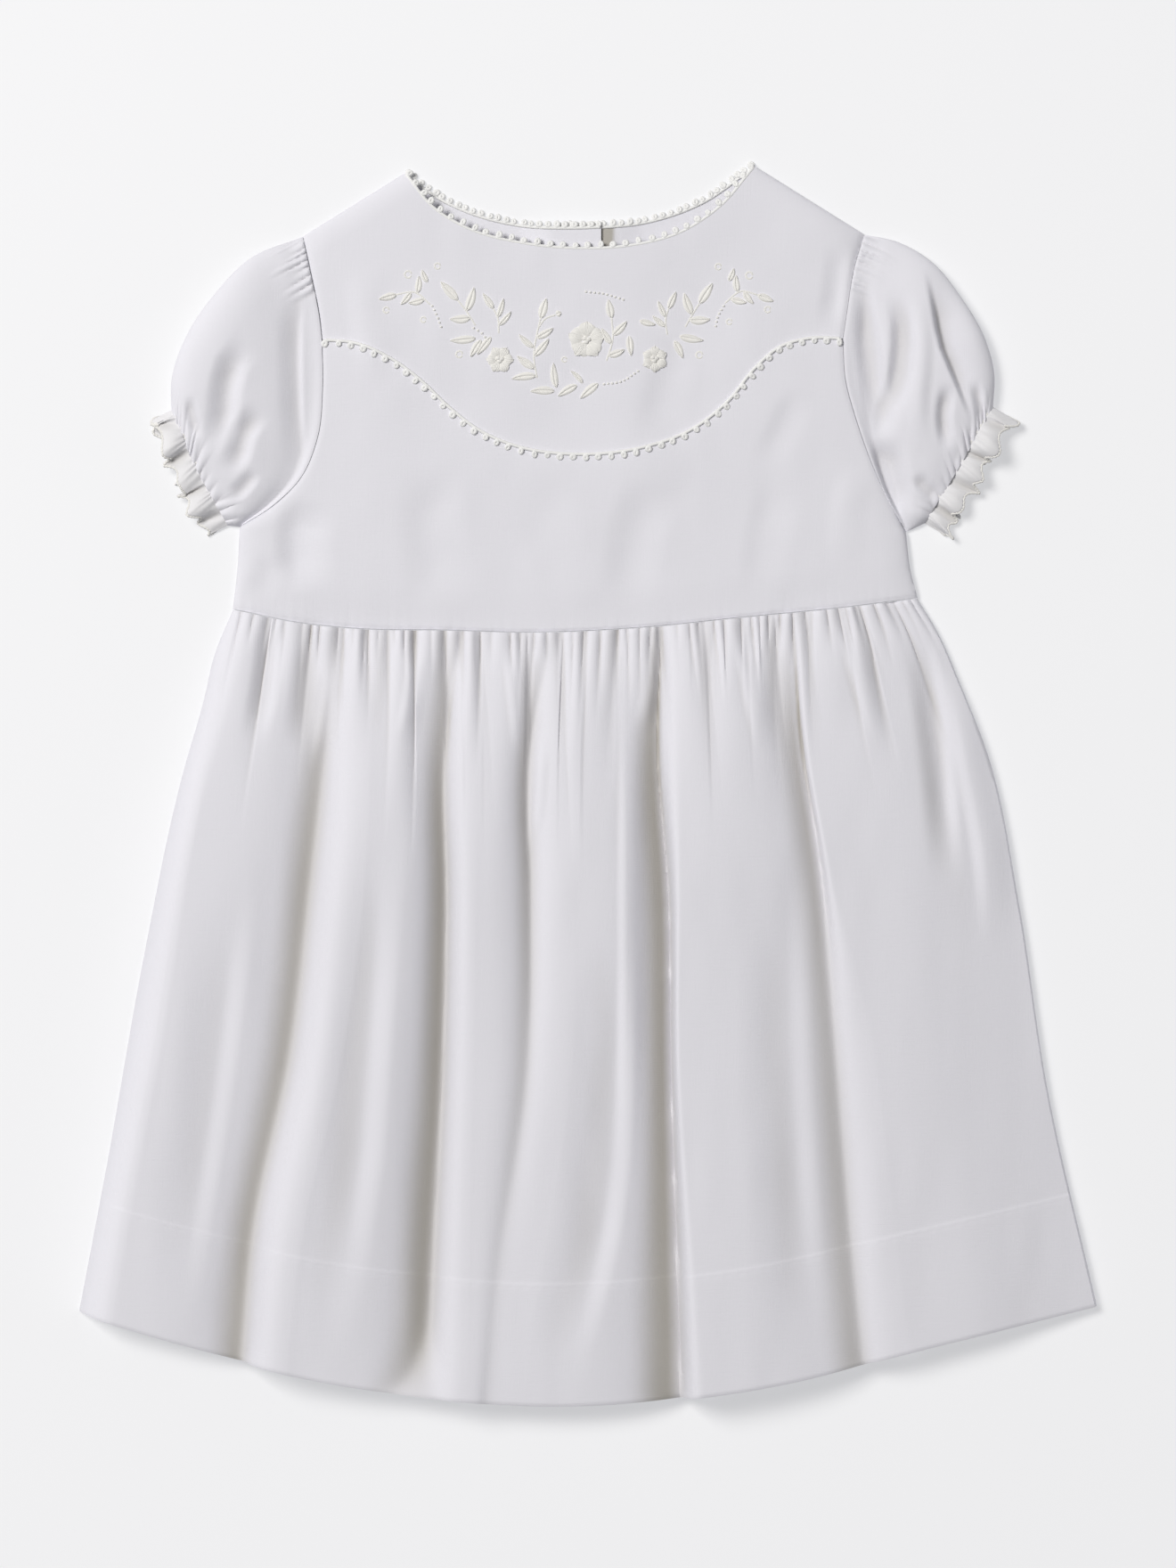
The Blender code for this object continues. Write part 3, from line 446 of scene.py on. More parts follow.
def smooth_line(points, share):
    """Points of a smooth line through the given ones, at shares of its chord length."""
    points = np.array(points, float)
    steps = np.linalg.norm(np.diff(points, axis=0), axis=1)
    knots = np.concatenate([[0], np.cumsum(steps)]) / steps.sum()
    slopes = np.gradient(points, knots, axis=0)
    share = np.clip(np.asarray(share, float), 0, 1)
    span = np.clip(np.searchsorted(knots, share, side="right") - 1, 0, len(steps) - 1)
    width = (knots[span + 1] - knots[span])[:, None]
    part = (share - knots[span])[:, None] / width
    return (
        points[span] * (1 + 2 * part) * (1 - part) ** 2
        + slopes[span] * width * part * (1 - part) ** 2
        + points[span + 1] * part * part * (3 - 2 * part)
        + slopes[span + 1] * width * part * part * (part - 1)
    )


def offset_line(points, distance):
    """The points moved to the left of their direction by a distance."""
    points = np.array(points, float)
    run = np.gradient(points, axis=0)
    run /= np.linalg.norm(run, axis=1)[:, None]
    return points + distance * np.stack([-run[:, 1], run[:, 0]], axis=1)


def edge(points, y_shift=0.0):
    """A smooth edge as a function of its share."""
    return lambda share: smooth_line(points, share) + np.array([0, y_shift])


def part_edge(points, x_from, x_to):
    """The stretch of a smooth edge between two places across the dress."""
    dense = np.linspace(0, 1, 400)
    across = smooth_line(points, dense)[:, 0]
    first, last = np.interp([x_from, x_to], across, dense)
    return lambda share: smooth_line(points, first + (last - first) * share)


def joined_edge(edges, ends):
    """One edge made of several with corners between them, each up to its end share."""

    def at(share):
        share = np.asarray(share, float)
        found = np.zeros((len(share), 2))
        start = 0.0
        for part, end in zip(edges, ends):
            inside = (share >= start - CORNER) & (share <= end + CORNER)
            found[inside] = part(np.clip((share[inside] - start) / (end - start), 0, 1))
            start = end
        return found

    return at


def flat_patch(top, bottom, left, right, u, v):
    """A flat panel filled in between its four edges. u runs left to right and v downwards."""
    zero, one = np.zeros(1), np.ones(1)
    across, down = u[:, None], v[:, None]
    blended = (1 - down) * top(u) + down * bottom(u) + (1 - across) * left(v) + across * right(v)
    corners = (
        (1 - across) * (1 - down) * top(zero)
        + across * (1 - down) * top(one)
        + (1 - across) * down * bottom(zero)
        + across * down * bottom(one)
    )
    return blended - corners


def dense_armhole(top, low):
    """The armhole as a dense line of points."""
    share = np.linspace(0, 1, 60)
    return np.vstack([smooth_line(top, share), smooth_line(low, share)[1:]])


DENSE_LEFT = dense_armhole(LEFT_ARMHOLE_TOP, LEFT_ARMHOLE_LOW)
DENSE_RIGHT = dense_armhole(RIGHT_ARMHOLE_TOP, RIGHT_ARMHOLE_LOW)


def soft_noise(x, y, waves):
    """Smooth uneven heights about 0, with patches of the given size."""
    cells = NOISE_CELLS
    values = np.random.default_rng(waves.seed).normal(0, 0.5, (cells + 1, cells + 1))
    place_x, place_y = x / waves.across + NOISE_START[0], y / waves.down + NOISE_START[1]
    cell_x, cell_y = np.floor(place_x).astype(int), np.floor(place_y).astype(int)
    part_x, part_y = place_x - cell_x, place_y - cell_y
    part_x, part_y = part_x * part_x * (3 - 2 * part_x), part_y * part_y * (3 - 2 * part_y)
    cell_x, cell_y = cell_x % cells, cell_y % cells
    low = values[cell_x, cell_y] * (1 - part_x) + values[cell_x + 1, cell_y] * part_x
    high = values[cell_x, cell_y + 1] * (1 - part_x) + values[cell_x + 1, cell_y + 1] * part_x
    return waves.height * (low * (1 - part_y) + high * part_y)


def near_path(x, y, path):
    """Signed distance from a path (left of its direction is negative) and the share along it."""
    path = smooth_line(path, np.linspace(0, 1, CREASE_STEPS))
    lengths = np.linalg.norm(np.diff(path, axis=0), axis=1)
    nearest = np.full(x.shape, np.inf)
    side = np.ones(x.shape)
    along = np.zeros(x.shape)
    for number, length in enumerate(lengths):
        run = (path[number + 1] - path[number]) / length
        dx, dy = x - path[number][0], y - path[number][1]
        part = np.clip(dx * run[0] + dy * run[1], 0, length)
        away = np.hypot(dx - part * run[0], dy - part * run[1])
        closer = away < nearest
        along = np.where(closer, (lengths[:number].sum() + part) / lengths.sum(), along)
        side = np.where(closer, np.sign(run[0] * dy - run[1] * dx), side)
        nearest = np.minimum(nearest, away)
    return nearest * side, along


def creased(x, y, creases):
    """Heights of all the creases in a table, each fading at both of its ends."""
    height = np.zeros(x.shape)
    for crease in creases:
        offset, along = near_path(x, y, crease.path)
        fade = soft_step(0, CREASE_STARTED, along) * (1 - soft_step(CREASE_FADING, 1, along))
        height += crease.height * crest(offset, crease.left, crease.right) * fade
    return height


def uneven(u, below, gather):
    """Gathers let out of a seam: soft puffs between creases, uneven in width, height and length."""
    rng = np.random.default_rng(gather.seed)
    ends = np.concatenate([[0], np.cumsum(rng.uniform(*PUFF_WIDTHS, gather.count))])
    ends /= ends[-1]
    heights = gather.height * rng.uniform(*PUFF_HEIGHTS, gather.count)
    lengths = rng.uniform(gather.shortest, gather.longest, gather.count)
    drift = rng.normal(0, PUFF_DRIFT, gather.count) / gather.count / gather.longest
    place = np.clip(u, 0, 1 - CORNER)
    index = np.clip(np.searchsorted(ends, place, side="right") - 1, 0, gather.count - 1)
    place = np.clip(place + drift[index] * below, ends[index], ends[index + 1] - CORNER)
    part = (place - ends[index]) / (ends[index + 1] - ends[index])
    puff = np.sin(math.pi * part) ** 0.8
    return heights[index] * (puff - PUFF_MEAN) * (1 - soft_step(0, 1, below / lengths[index])) ** 1.2


def line_distance(x, y, line):
    """Distance from a straight seam."""
    (x0, y0), (x1, y1) = line[0], line[-1]
    return np.abs((x1 - x0) * (y - y0) - (y1 - y0) * (x - x0)) / math.hypot(x1 - x0, y1 - y0)


def edge_across(dense, side, y):
    """Where the side edge of the bodice is at a height on the dress."""
    points = np.vstack([dense, np.array(side)[1:]])[::-1]
    return np.interp(y, points[:, 1], points[:, 0])


def bodice_base(x, y):
    """Top of the bodice front and yoke without fine detail."""
    underarm, shoulder = LEFT_SIDE[0][1], LEFT_SHOULDER[0][1]
    opened = ARMHOLE_OPEN * np.sin(math.pi * np.clip((y - underarm) / (shoulder - underarm), 0, 1))
    inside = np.minimum(
        x - edge_across(DENSE_LEFT, LEFT_SIDE, y), edge_across(DENSE_RIGHT, RIGHT_SIDE, y) - x
    )
    side = roll(np.maximum(inside, 0) + opened, SIDE_ROLL)
    to_shoulder = np.minimum(line_distance(x, y, LEFT_SHOULDER), line_distance(x, y, RIGHT_SHOULDER))
    waist = smooth_line(WAIST_SEAM, np.linspace(0, 1, 60))
    above = y - np.interp(x, waist[:, 0], waist[:, 1])
    loft = WAIST_LOFT + (BODICE_LOFT - WAIST_LOFT) * soft_step(0, LOFT_RUN, above)
    billow = 0.5 + 0.5 * np.sin(x / BILLOW_LENGTH + 0.6)
    billow = BODICE_BILLOW * billow * soft_step(0, BILLOW_RUN, above)
    return FRONT_LOW + side * roll(to_shoulder, SHOULDER_ROLL) * (loft + billow)


def bodice_height(x, y):
    """Top of the bodice front and yoke, with its slight creases."""
    inner = 1.0
    for shoulder in (LEFT_SHOULDER, RIGHT_SHOULDER):
        inner = inner * roll(line_distance(x, y, shoulder), CREASE_FREE_SHOULDER)
    soft = sum(soft_noise(x, y, waves) for waves in BODICE_WAVES)
    return bodice_base(x, y) + inner * (soft + creased(x, y, BODICE_CREASES))


def skirt_sides(v):
    """Where the skirt's left and right edges are at share v of its length."""
    return smooth_line(LEFT_SKIRT_SIDE, v)[:, 0], smooth_line(RIGHT_SKIRT_SIDE, v)[:, 0]


def at_level(values, v):
    """A fold's value at share v of the skirt's length, smooth between its levels."""
    table = np.column_stack([LEVELS, np.array(values) / 1000])
    share, value = smooth_line(table, np.linspace(0, 1, 80)).T
    return np.interp(v, share, value) * 1000


def fold_share(fold, v):
    """How far across the skirt a fold's crest is."""
    left, right = skirt_sides(v)
    return (at_level(fold.crest, v) - left) / (right - left)


def along_folds(u, v):
    """Shares across the skirt for columns that run down along the folds' crests."""
    starts = [fold_share(fold, np.zeros(1))[0] for fold in FOLDS]
    knots = [0.0] + starts + [1.0]
    shares = [np.zeros_like(v)] + [fold_share(fold, v) for fold in FOLDS] + [np.ones_like(v)]
    found = np.zeros_like(u)
    for number in range(len(knots) - 1):
        inside = (u >= knots[number] - CORNER) & (u <= knots[number + 1] + CORNER)
        part = (u - knots[number]) / (knots[number + 1] - knots[number])
        found = np.where(inside, shares[number] + part * (shares[number + 1] - shares[number]), found)
    return found


def skirt_panel(u, v, hem_shift=0.0):
    """Flat place of a skirt point, its share across, its depth and its offset from each crest."""
    edges = (
        edge(WAIST_SEAM, -SEAM_DROP),
        edge(HEM, hem_shift),
        edge(LEFT_SKIRT_SIDE, -SEAM_DROP),
        edge(RIGHT_SKIRT_SIDE, -SEAM_DROP),
    )
    share = along_folds(u, v)
    x, y = flat_patch(*edges, share, v).T
    below = v * SKIRT_LENGTH
    offsets = [x - flat_patch(*edges, fold_share(fold, v), v)[:, 0] for fold in FOLDS]
    return x, y, share, below, offsets


def folded(share, v, offsets):
    """Height of the soft folds: walls and flanks that meet in rounded valleys."""
    left_x, right_x = skirt_sides(v)
    to_right = (1 - share) * (right_x - left_x)
    total = np.zeros(v.shape)
    for number, (fold, offset) in enumerate(zip(FOLDS, offsets)):
        up = -offset / at_level(fold.wall, v)
        on_wall = fold.height - (fold.height - at_level(fold.floor, v)) * up**2 * np.abs(up)
        if number + 1 == len(FOLDS):
            run, floor, bend = offset + to_right, RIGHT_EDGE_FLOOR, LAST_FLANK_BEND
        else:
            following = FOLDS[number + 1]
            run = offset - offsets[number + 1] - at_level(following.wall, v)
            floor, bend = at_level(following.floor, v), FLANK_BEND
        part = np.maximum(offset / np.maximum(run, 1), 0)
        fall = FLANK_STRAIGHT * part + (1 - FLANK_STRAIGHT) * part**bend
        on_flank = fold.height - (fold.height - floor) * fall
        if number > 0:
            on_wall = 0.5 * (total + on_wall + np.sqrt((total - on_wall) ** 2 + fold.round**2))
            kept = np.clip(offset / CREST_BLEND, 0, 1)
            lift = 0.5 * (np.sqrt((total - on_flank) ** 2 + fold.round**2) - np.abs(total - on_flank))
            on_flank = on_flank + lift * (1 - kept) ** 2
        total = np.where(offset < 0, on_wall, on_flank)
    return total


def skirt_growth(v):
    """How far the soft folds have opened below the waist."""
    return np.sin(math.pi / 2 * np.clip(v / FOLD_FULL, 0, 1)) ** FOLD_OPENING


def hem_relief(x, from_hem):
    """The edge of the turned hem, with the row of stitches that holds it."""
    edge_low, edge_high = HEM_DEPTH - HEM_TURN_HALF, HEM_DEPTH + HEM_TURN_HALF
    turned = HEM_TURNED * (1 - soft_step(edge_low, edge_high, from_hem))
    from_row = (from_hem - HEM_DEPTH + HEM_STITCH_INSIDE) / HEM_STITCH_WIDTH
    stitch = HEM_STITCH * np.exp(-(from_row**2)) * (0.6 + 0.4 * np.cos(x * HEM_STITCH_TURN))
    return turned - stitch


def skirt_front_point(u, v):
    """A point of the skirt front, on its top face."""
    x, y, share, below, offsets = skirt_panel(u, v)
    left_x, right_x = skirt_sides(v)
    width = right_x - left_x
    from_right = (1 - share) * width
    side = roll(share * width, SIDE_ROLL) * roll(from_right, RIGHT_EDGE_ROLL)
    at_right = RIGHT_EDGE_LOFT + (1 - RIGHT_EDGE_LOFT) * soft_step(0, RIGHT_EDGE_RUN, from_right)
    height = (WAIST_LOFT + SKIRT_PUFF * soft_step(0, PUFF_RUN, below)) * at_right
    height = height + folded(share, v, offsets) * skirt_growth(v)
    height = height + creased(x, y, SKIRT_CREASES)
    height = height + uneven(u, below, WAIST_FINE) + uneven(u, below, WAIST_BROAD)
    soft = sum(soft_noise(x, y, waves) for waves in SKIRT_WAVES)
    height = height + soft * soft_step(0, SKIRT_WAVES_RUN, below)
    from_hem = (1 - v) * SKIRT_LENGTH
    height = height + hem_relief(x, from_hem)
    height = height - WAIST_DITCH * np.exp(-((below / WAIST_DITCH_WIDTH) ** 2))
    rolled = HEM_EDGE_DROP * (1 - roll(from_hem, HEM_EDGE_ROLL))
    return np.stack([x, y, FRONT_LOW + side * height - rolled], axis=1)


def skirt_rows():
    """Rows down the skirt front, closer together at the waist and at the stitching of the hem."""
    stitching = 1 - (HEM_DEPTH + np.array(HEM_ROWS)) / SKIRT_LENGTH
    return np.sort(np.concatenate([spread(SKIRT_ROWS, 3.0, 2.0), stitching]))


def skirt_back_point(u, v):
    """A point of the skirt back, on its underside."""
    x, y, share, below, offsets = skirt_panel(u, v, BACK_HEM_SHORTER)
    inside = soft_step(*BACK_RIM, np.minimum(share, 1 - share))
    lift = np.maximum(uneven(u, below, BACK_FINE), 0)
    opened = soft_step(*BACK_GROOVES_FROM, v)
    for fold, offset in zip(FOLDS, offsets):
        lift = lift + fold.back * crest(offset, BACK_GROOVE_WIDTH, BACK_GROOVE_WIDTH) * opened
    return np.stack([x, y, inside * lift], axis=1)


def seam_dip(distance):
    """The small ditch beside a seam."""
    return SEAM_DIP * np.exp(-((distance / SEAM_DIP_WIDTH) ** 2))


def yoke_point(u, v):
    """A point of the front yoke, on its top face."""
    pieces = [edge(LEFT_SHOULDER), edge(FRONT_NECK), edge(RIGHT_SHOULDER)]
    top = joined_edge(pieces, [SHOULDER_SHARE, 1 - SHOULDER_SHARE, 1.0])
    x, y = flat_patch(top, edge(YOKE_SEAM), edge(LEFT_ARMHOLE_TOP), edge(RIGHT_ARMHOLE_TOP), u, v).T
    at_armhole = np.minimum(u, 1 - u) * YOKE_SPAN
    return np.stack([x, y, bodice_height(x, y) - seam_dip(at_armhole)], axis=1)


def bodice_front_point(u, v):
    """A point of the bodice front, on its top face."""
    left = joined_edge([edge(LEFT_ARMHOLE_LOW), edge(LEFT_SIDE)], [ARMHOLE_SHARE, 1.0])
    right = joined_edge([edge(RIGHT_ARMHOLE_LOW), edge(RIGHT_SIDE)], [ARMHOLE_SHARE, 1.0])
    x, y = flat_patch(edge(YOKE_SEAM), edge(WAIST_SEAM), left, right, u, v).T
    y = y - SEAM_DROP * (1 - v) ** 4
    at_armhole = np.where(v < ARMHOLE_SHARE, np.minimum(u, 1 - u) * BODICE_SPAN, NO_SEAM_NEAR)
    above_waist = (1 - v) * BODICE_DEPTH
    pucker = PUCKER * np.cos(x * 1.9 + 2 * np.sin(x * 0.31)) * np.exp(-above_waist / PUCKER_RUN)
    z = bodice_height(x, y) - seam_dip(at_armhole) - seam_dip(above_waist) + pucker
    return np.stack([x, y, z], axis=1)


def overlap_lift(left_half, x, y):
    """How far the underside of one back half stands off the surface at the opening."""
    outer = BUTTON_THICKNESS + GAP
    landed = CLOTH + GAP
    flat_to = PLACKET_FLAT + PLACKET_SLOPE
    above_waist = y - smooth_line(WAIST_SEAM, [0.5])[0, 1] - PLACKET_ABOVE_WAIST
    down_at_waist = soft_step(0, PLACKET_LANDING, above_waist)
    if left_half:
        slope = soft_step(OVERLAP_RIGHT_EDGE - flat_to, OVERLAP_RIGHT_EDGE - PLACKET_FLAT, x)
        return slope * (landed + outer * down_at_waist)
    slope = 1 - soft_step(OVERLAP_LEFT_EDGE + PLACKET_FLAT, OVERLAP_LEFT_EDGE + flat_to, x)
    return slope * outer * down_at_waist


def back_edges(left_half):
    """The neck, waist, top and outer edges of one half of the bodice back."""
    if left_half:
        neck = part_edge(BACK_NECK, LEFT_NECK_CORNER[0], OVERLAP_RIGHT_EDGE)
        waist = part_edge(WAIST_SEAM, WAIST_SEAM[0][0], OVERLAP_RIGHT_EDGE)
        top = joined_edge([edge(LEFT_SHOULDER), neck], [BACK_SHOULDER_SHARE, 1.0])
        side = [edge(LEFT_ARMHOLE_TOP), edge(LEFT_ARMHOLE_LOW), edge(LEFT_SIDE)]
    else:
        neck = part_edge(BACK_NECK, OVERLAP_LEFT_EDGE, RIGHT_NECK_CORNER[0])
        waist = part_edge(WAIST_SEAM, OVERLAP_LEFT_EDGE, WAIST_SEAM[-1][0])
        top = joined_edge([neck, edge(RIGHT_SHOULDER)], [1 - BACK_SHOULDER_SHARE, 1.0])
        side = [edge(RIGHT_ARMHOLE_TOP), edge(RIGHT_ARMHOLE_LOW), edge(RIGHT_SIDE)]
    return neck, waist, top, joined_edge(side, BACK_SIDE_SHARES)


def back_point(left_half, u, v):
    """A point of one half of the bodice back, on its underside."""
    neck, waist, top, outer = back_edges(left_half)
    at = np.ones(1) if left_half else np.zeros(1)
    neck_end, waist_end = neck(at)[0], waist(at)[0]

    def opening(share):
        """The straight edge at the opening, from the neck to the waist."""
        return neck_end + (waist_end - neck_end) * np.asarray(share)[:, None]

    sides = (outer, opening) if left_half else (opening, outer)
    x, y = flat_patch(top, waist, *sides, u, v).T
    return np.stack([x, y, overlap_lift(left_half, x, y)], axis=1)


def sleeve_levels(along, across):
    """Heights of a sleeve's ridge and of its side folds, lower towards the underarm."""
    rings = [ring.along for ring in SLEEVE_RINGS]
    top = np.interp(along, rings, [ring.top for ring in SLEEVE_RINGS])
    middle = np.interp(along, rings, [ring.middle for ring in SLEEVE_RINGS])
    low = across**2
    return top * (1 - UNDERARM_FALL * low), middle * (1 - low) + UNDERARM_MIDDLE * low


def smooth_levels(along, across):
    """The same heights with the rings' corners rounded off."""
    shifts = np.linspace(-RING_BLEND, RING_BLEND, RING_BLEND_STEPS)
    steps = [sleeve_levels(np.clip(along + shift, 0, 1), across) for shift in shifts]
    raw = sleeve_levels(along, across)
    rounded = [np.mean([step[part] for step in steps], axis=0) for part in (0, 1)]
    blend = soft_step(0, RING_BLEND_FROM, np.minimum(along, 1 - along))
    return tuple(raw[part] + (rounded[part] - raw[part]) * blend for part in (0, 1))


def round_share(u, roundness):
    """Once round a flattened tube: from 0 at the outer fold to 1 at the inner one and back."""
    return roundness * (0.5 - 0.5 * np.cos(2 * math.pi * u)) + (1 - roundness) * (1 - np.abs(1 - 2 * u))


def over_floor(height, floor):
    """Heights that flatten out softly a little above a floor."""
    above = height - floor
    return floor + 0.5 * (above + np.sqrt(above**2 + 1.0))


def sleeve_place(sleeve, armhole, w, v):
    """Flat place of a sleeve point between its armhole, cuff, outer fold and underarm."""
    start = offset_line(armhole, SLEEVE_SEAM_GAP if sleeve.mirrored else -SLEEVE_SEAM_GAP)
    places = np.linspace(0, 1, len(start))
    edges = (
        lambda share: np.stack([np.interp(share, places, start[:, k]) for k in (0, 1)], axis=1),
        edge(sleeve.cuff),
        edge([tuple(start[0])] + sleeve.outer[1:]),
        edge([tuple(start[-1])] + sleeve.under[1:]),
    )
    return flat_patch(*edges, w, v).T


def head_gathers(sleeve, w, v, run):
    """Gathers let out of the sleeve's head, which fan out from the shoulder."""
    gather = HEAD_GATHER._replace(seed=HEAD_GATHER.seed + sleeve.seed)
    at_head = 1 - soft_step(*HEAD_FADE, w)
    fan = np.clip((w - HEAD_FAN * v * run) / HEAD_SPAN, 0, 1)
    return uneven(fan, v * run, gather) * at_head * soft_step(0, HEAD_START, v * run)


def cuff_gathers(sleeve, w, v, run):
    """Gathers let out of the sleeve's elastic."""
    gather = CUFF_GATHER._replace(seed=CUFF_GATHER.seed + sleeve.seed)
    return uneven(w, (1 - v) * run, gather)


def sleeve_point(sleeve, u, v):
    """A point of a sleeve: v runs from armhole to cuff, and u once round from the outer fold."""
    armhole = dense_armhole(sleeve.top_armhole, sleeve.low_armhole)
    w = round_share(u, SLEEVE_ROUNDNESS)
    x, y = sleeve_place(sleeve, armhole, w, v)
    top, middle = smooth_levels(v, w)
    length = line_length(armhole) * (1 - v) + line_length(sleeve.cuff) * v
    dome = roll(w * length, SLEEVE_OUTER_ROLL) * roll((1 - w) * length, SLEEVE_INNER_ROLL)
    seam_ends = roll(w * SEAM_END_SPAN, 1) * roll((1 - w) * SEAM_END_SPAN, 1)
    at_seam = np.maximum(bodice_base(x, y) * seam_ends, middle)
    away = soft_step(0, SLEEVE_SEAM_SHARE, v)
    upper = (middle + (top - middle) * dome) * away + at_seam * (1 - away)
    upper = upper + creased(x, y, SLEEVE_CREASES[sleeve.side]) * dome * away
    run = line_length(sleeve.outer) * (1 - w) + line_length(sleeve.under) * w
    run = run + SLEEVE_CROWN * np.sin(math.pi * w)
    at_cuff = cuff_gathers(sleeve, w, v, run)
    upper = upper + head_gathers(sleeve, w, v, run) * dome + at_cuff * dome
    soft = soft_noise(x, y, SLEEVE_WAVES._replace(seed=SLEEVE_WAVES.seed + sleeve.seed))
    upper = upper + soft * dome * soft_step(0, SLEEVE_WAVES_SHARE, v)
    upper = upper - SLEEVE_SEAM_DIP * seam_dip(v * run)
    upper = upper + (over_floor(upper, SLEEVE_FLOOR) - upper) * dome
    lower = middle * (1 - roll(np.minimum(w, 1 - w) * length, middle))
    lower = lower + np.maximum(UNDER_GATHER * at_cuff, 0) * dome
    return np.stack([x, y, np.where(u <= 0.5, upper, lower)], axis=1)


def frill_waves(sleeve, u):
    """Ruffle waves round a frill: their phase, size, lean and length, each a little uneven."""
    rng = np.random.default_rng(FRILL_SEED + sleeve.seed)
    knots = np.linspace(0, 1, 2 * FRILL_WAVES + 1)
    shifts = np.interp(u, knots, rng.normal(0, FRILL_SHIFT, len(knots)))
    sizes = np.interp(u, knots, rng.uniform(*FRILL_SIZES, len(knots)))
    leans = np.interp(u, knots, rng.normal(0, FRILL_LEAN, len(knots)))
    lengths = np.interp(u, knots, rng.uniform(*FRILL_LENGTHS, len(knots)))
    return 2 * math.pi * FRILL_WAVES * u + shifts, sizes, leans, lengths


def frill_place(sleeve, u, v, w):
    """Flat place of a frill point, which sways along the cuff as its waves fold over."""
    wave, _, leans, lengths = frill_waves(sleeve, u)
    along = np.array(sleeve.cuff[-1]) - np.array(sleeve.cuff[0])
    along = along / np.linalg.norm(along)
    outward = np.array([along[1], -along[0]]) * (-1 if sleeve.mirrored else 1)
    lengths = lengths * np.where(u > 0.5, FRILL_UNDER_REACH, 1.0)
    lobes = FRILL_REACH + FRILL_CREST_REACH * np.cos(wave) + FRILL_LOBES * np.cos(2 * wave)
    reach = FRILL_WIDTH * v * lobes * lengths - FRILL_TUCK
    free = soft_step(0, FRILL_TIED, np.minimum(w, 1 - w))
    sway = free * v * (leans + FRILL_SWAY * np.sin(wave + FRILL_SWAY_PHASE))
    line = smooth_line(sleeve.cuff, w)
    return (line + outward * reach[:, None] + along * sway[:, None]).T


def frill_point(sleeve, u, v):
    """A point of a frill: v runs from the elastic to the free edge, and u once round the cuff."""
    w = round_share(u, 0.0)
    x, y = frill_place(sleeve, u, v, w)
    wave, sizes, _, _ = frill_waves(sleeve, u)
    top, middle = sleeve_levels(np.ones_like(w), w)
    length = line_length(sleeve.cuff)
    dome = roll(w * length, FRILL_OUTER_ROLL) * roll((1 - w) * length, FRILL_INNER_ROLL)
    upper = middle + (top - FRILL_BASE_DROP - middle) * dome - FRILL_DROOP * v * dome
    lower = middle * (1 - roll(np.minimum(w, 1 - w) * length, middle))
    curl = np.sin(math.pi * np.clip(v * 0.8, 0, 1)) * 0.6 + 0.4 * v
    free = soft_step(0, FRILL_TIED, np.minimum(w, 1 - w))
    up = 0.5 + 0.5 * np.cos(wave)
    ripple = (0.15 + 0.85 * curl) * free * up**0.8 * sizes
    fine = FRILL_FINE * np.cos(5 * wave + 3 * np.sin(wave)) * (1 - v) * free
    z = np.where(u <= 0.5, upper + FRILL_RISE * ripple + fine, lower + FRILL_UNDER_RISE * ripple)
    return np.stack([x, y, z], axis=1)


def spread(count, low_share, high_share):
    """count + 1 shares from 0 to 1 that crowd towards one or both ends."""
    share = np.linspace(0, 1, count + 1)
    crowded = low_share * np.exp(-share * CROWDING) + high_share * np.exp(-(1 - share) * CROWDING)
    weights = 1 / (1 + crowded)
    steps = np.concatenate([[0], np.cumsum((weights[1:] + weights[:-1]) / 2)])
    return steps / steps[-1]


def grid_of(point, across, down):
    """Points of a shape at all pairs of shares, as rows of a grid."""
    u, v = np.meshgrid(across, down)
    return point(u.ravel(), v.ravel()).reshape(len(down), len(across), 3)


def quads(rows, columns, first, ring, reverse):
    """Faces of a grid of vertices."""
    r, c = np.meshgrid(np.arange(rows - 1), np.arange(columns if ring else columns - 1), indexing="ij")
    nxt = (c + 1) % columns
    a, b = first + r * columns + c, first + r * columns + nxt
    d, e = first + (r + 1) * columns + c, first + (r + 1) * columns + nxt
    order = (a, b, e, d) if reverse else (a, d, e, b)
    return np.stack(order, axis=-1).reshape(-1, 4)


def border(rows, columns, first):
    """The vertices round a grid's edge, once round."""
    top = [first + c for c in range(columns)]
    right = [first + r * columns + columns - 1 for r in range(1, rows)]
    bottom = [first + (rows - 1) * columns + c for c in range(columns - 2, -1, -1)]
    left = [first + r * columns for r in range(rows - 2, 0, -1)]
    return top + right + bottom + left


def blurred(values, reach, axis, ring):
    """Running means of a grid along one of its directions."""
    mode = "wrap" if ring and axis == 1 else "edge"
    width = [(0, 0), (0, 0)]
    width[axis] = (reach, reach)
    wide = np.moveaxis(np.pad(values, width, mode=mode), axis, 0)
    sums = np.cumsum(np.concatenate([np.zeros((1,) + wide.shape[1:]), wide]), axis=0)
    means = (sums[2 * reach + 1 :] - sums[: -2 * reach - 1]) / (2 * reach + 1)
    return np.moveaxis(means, 0, axis)


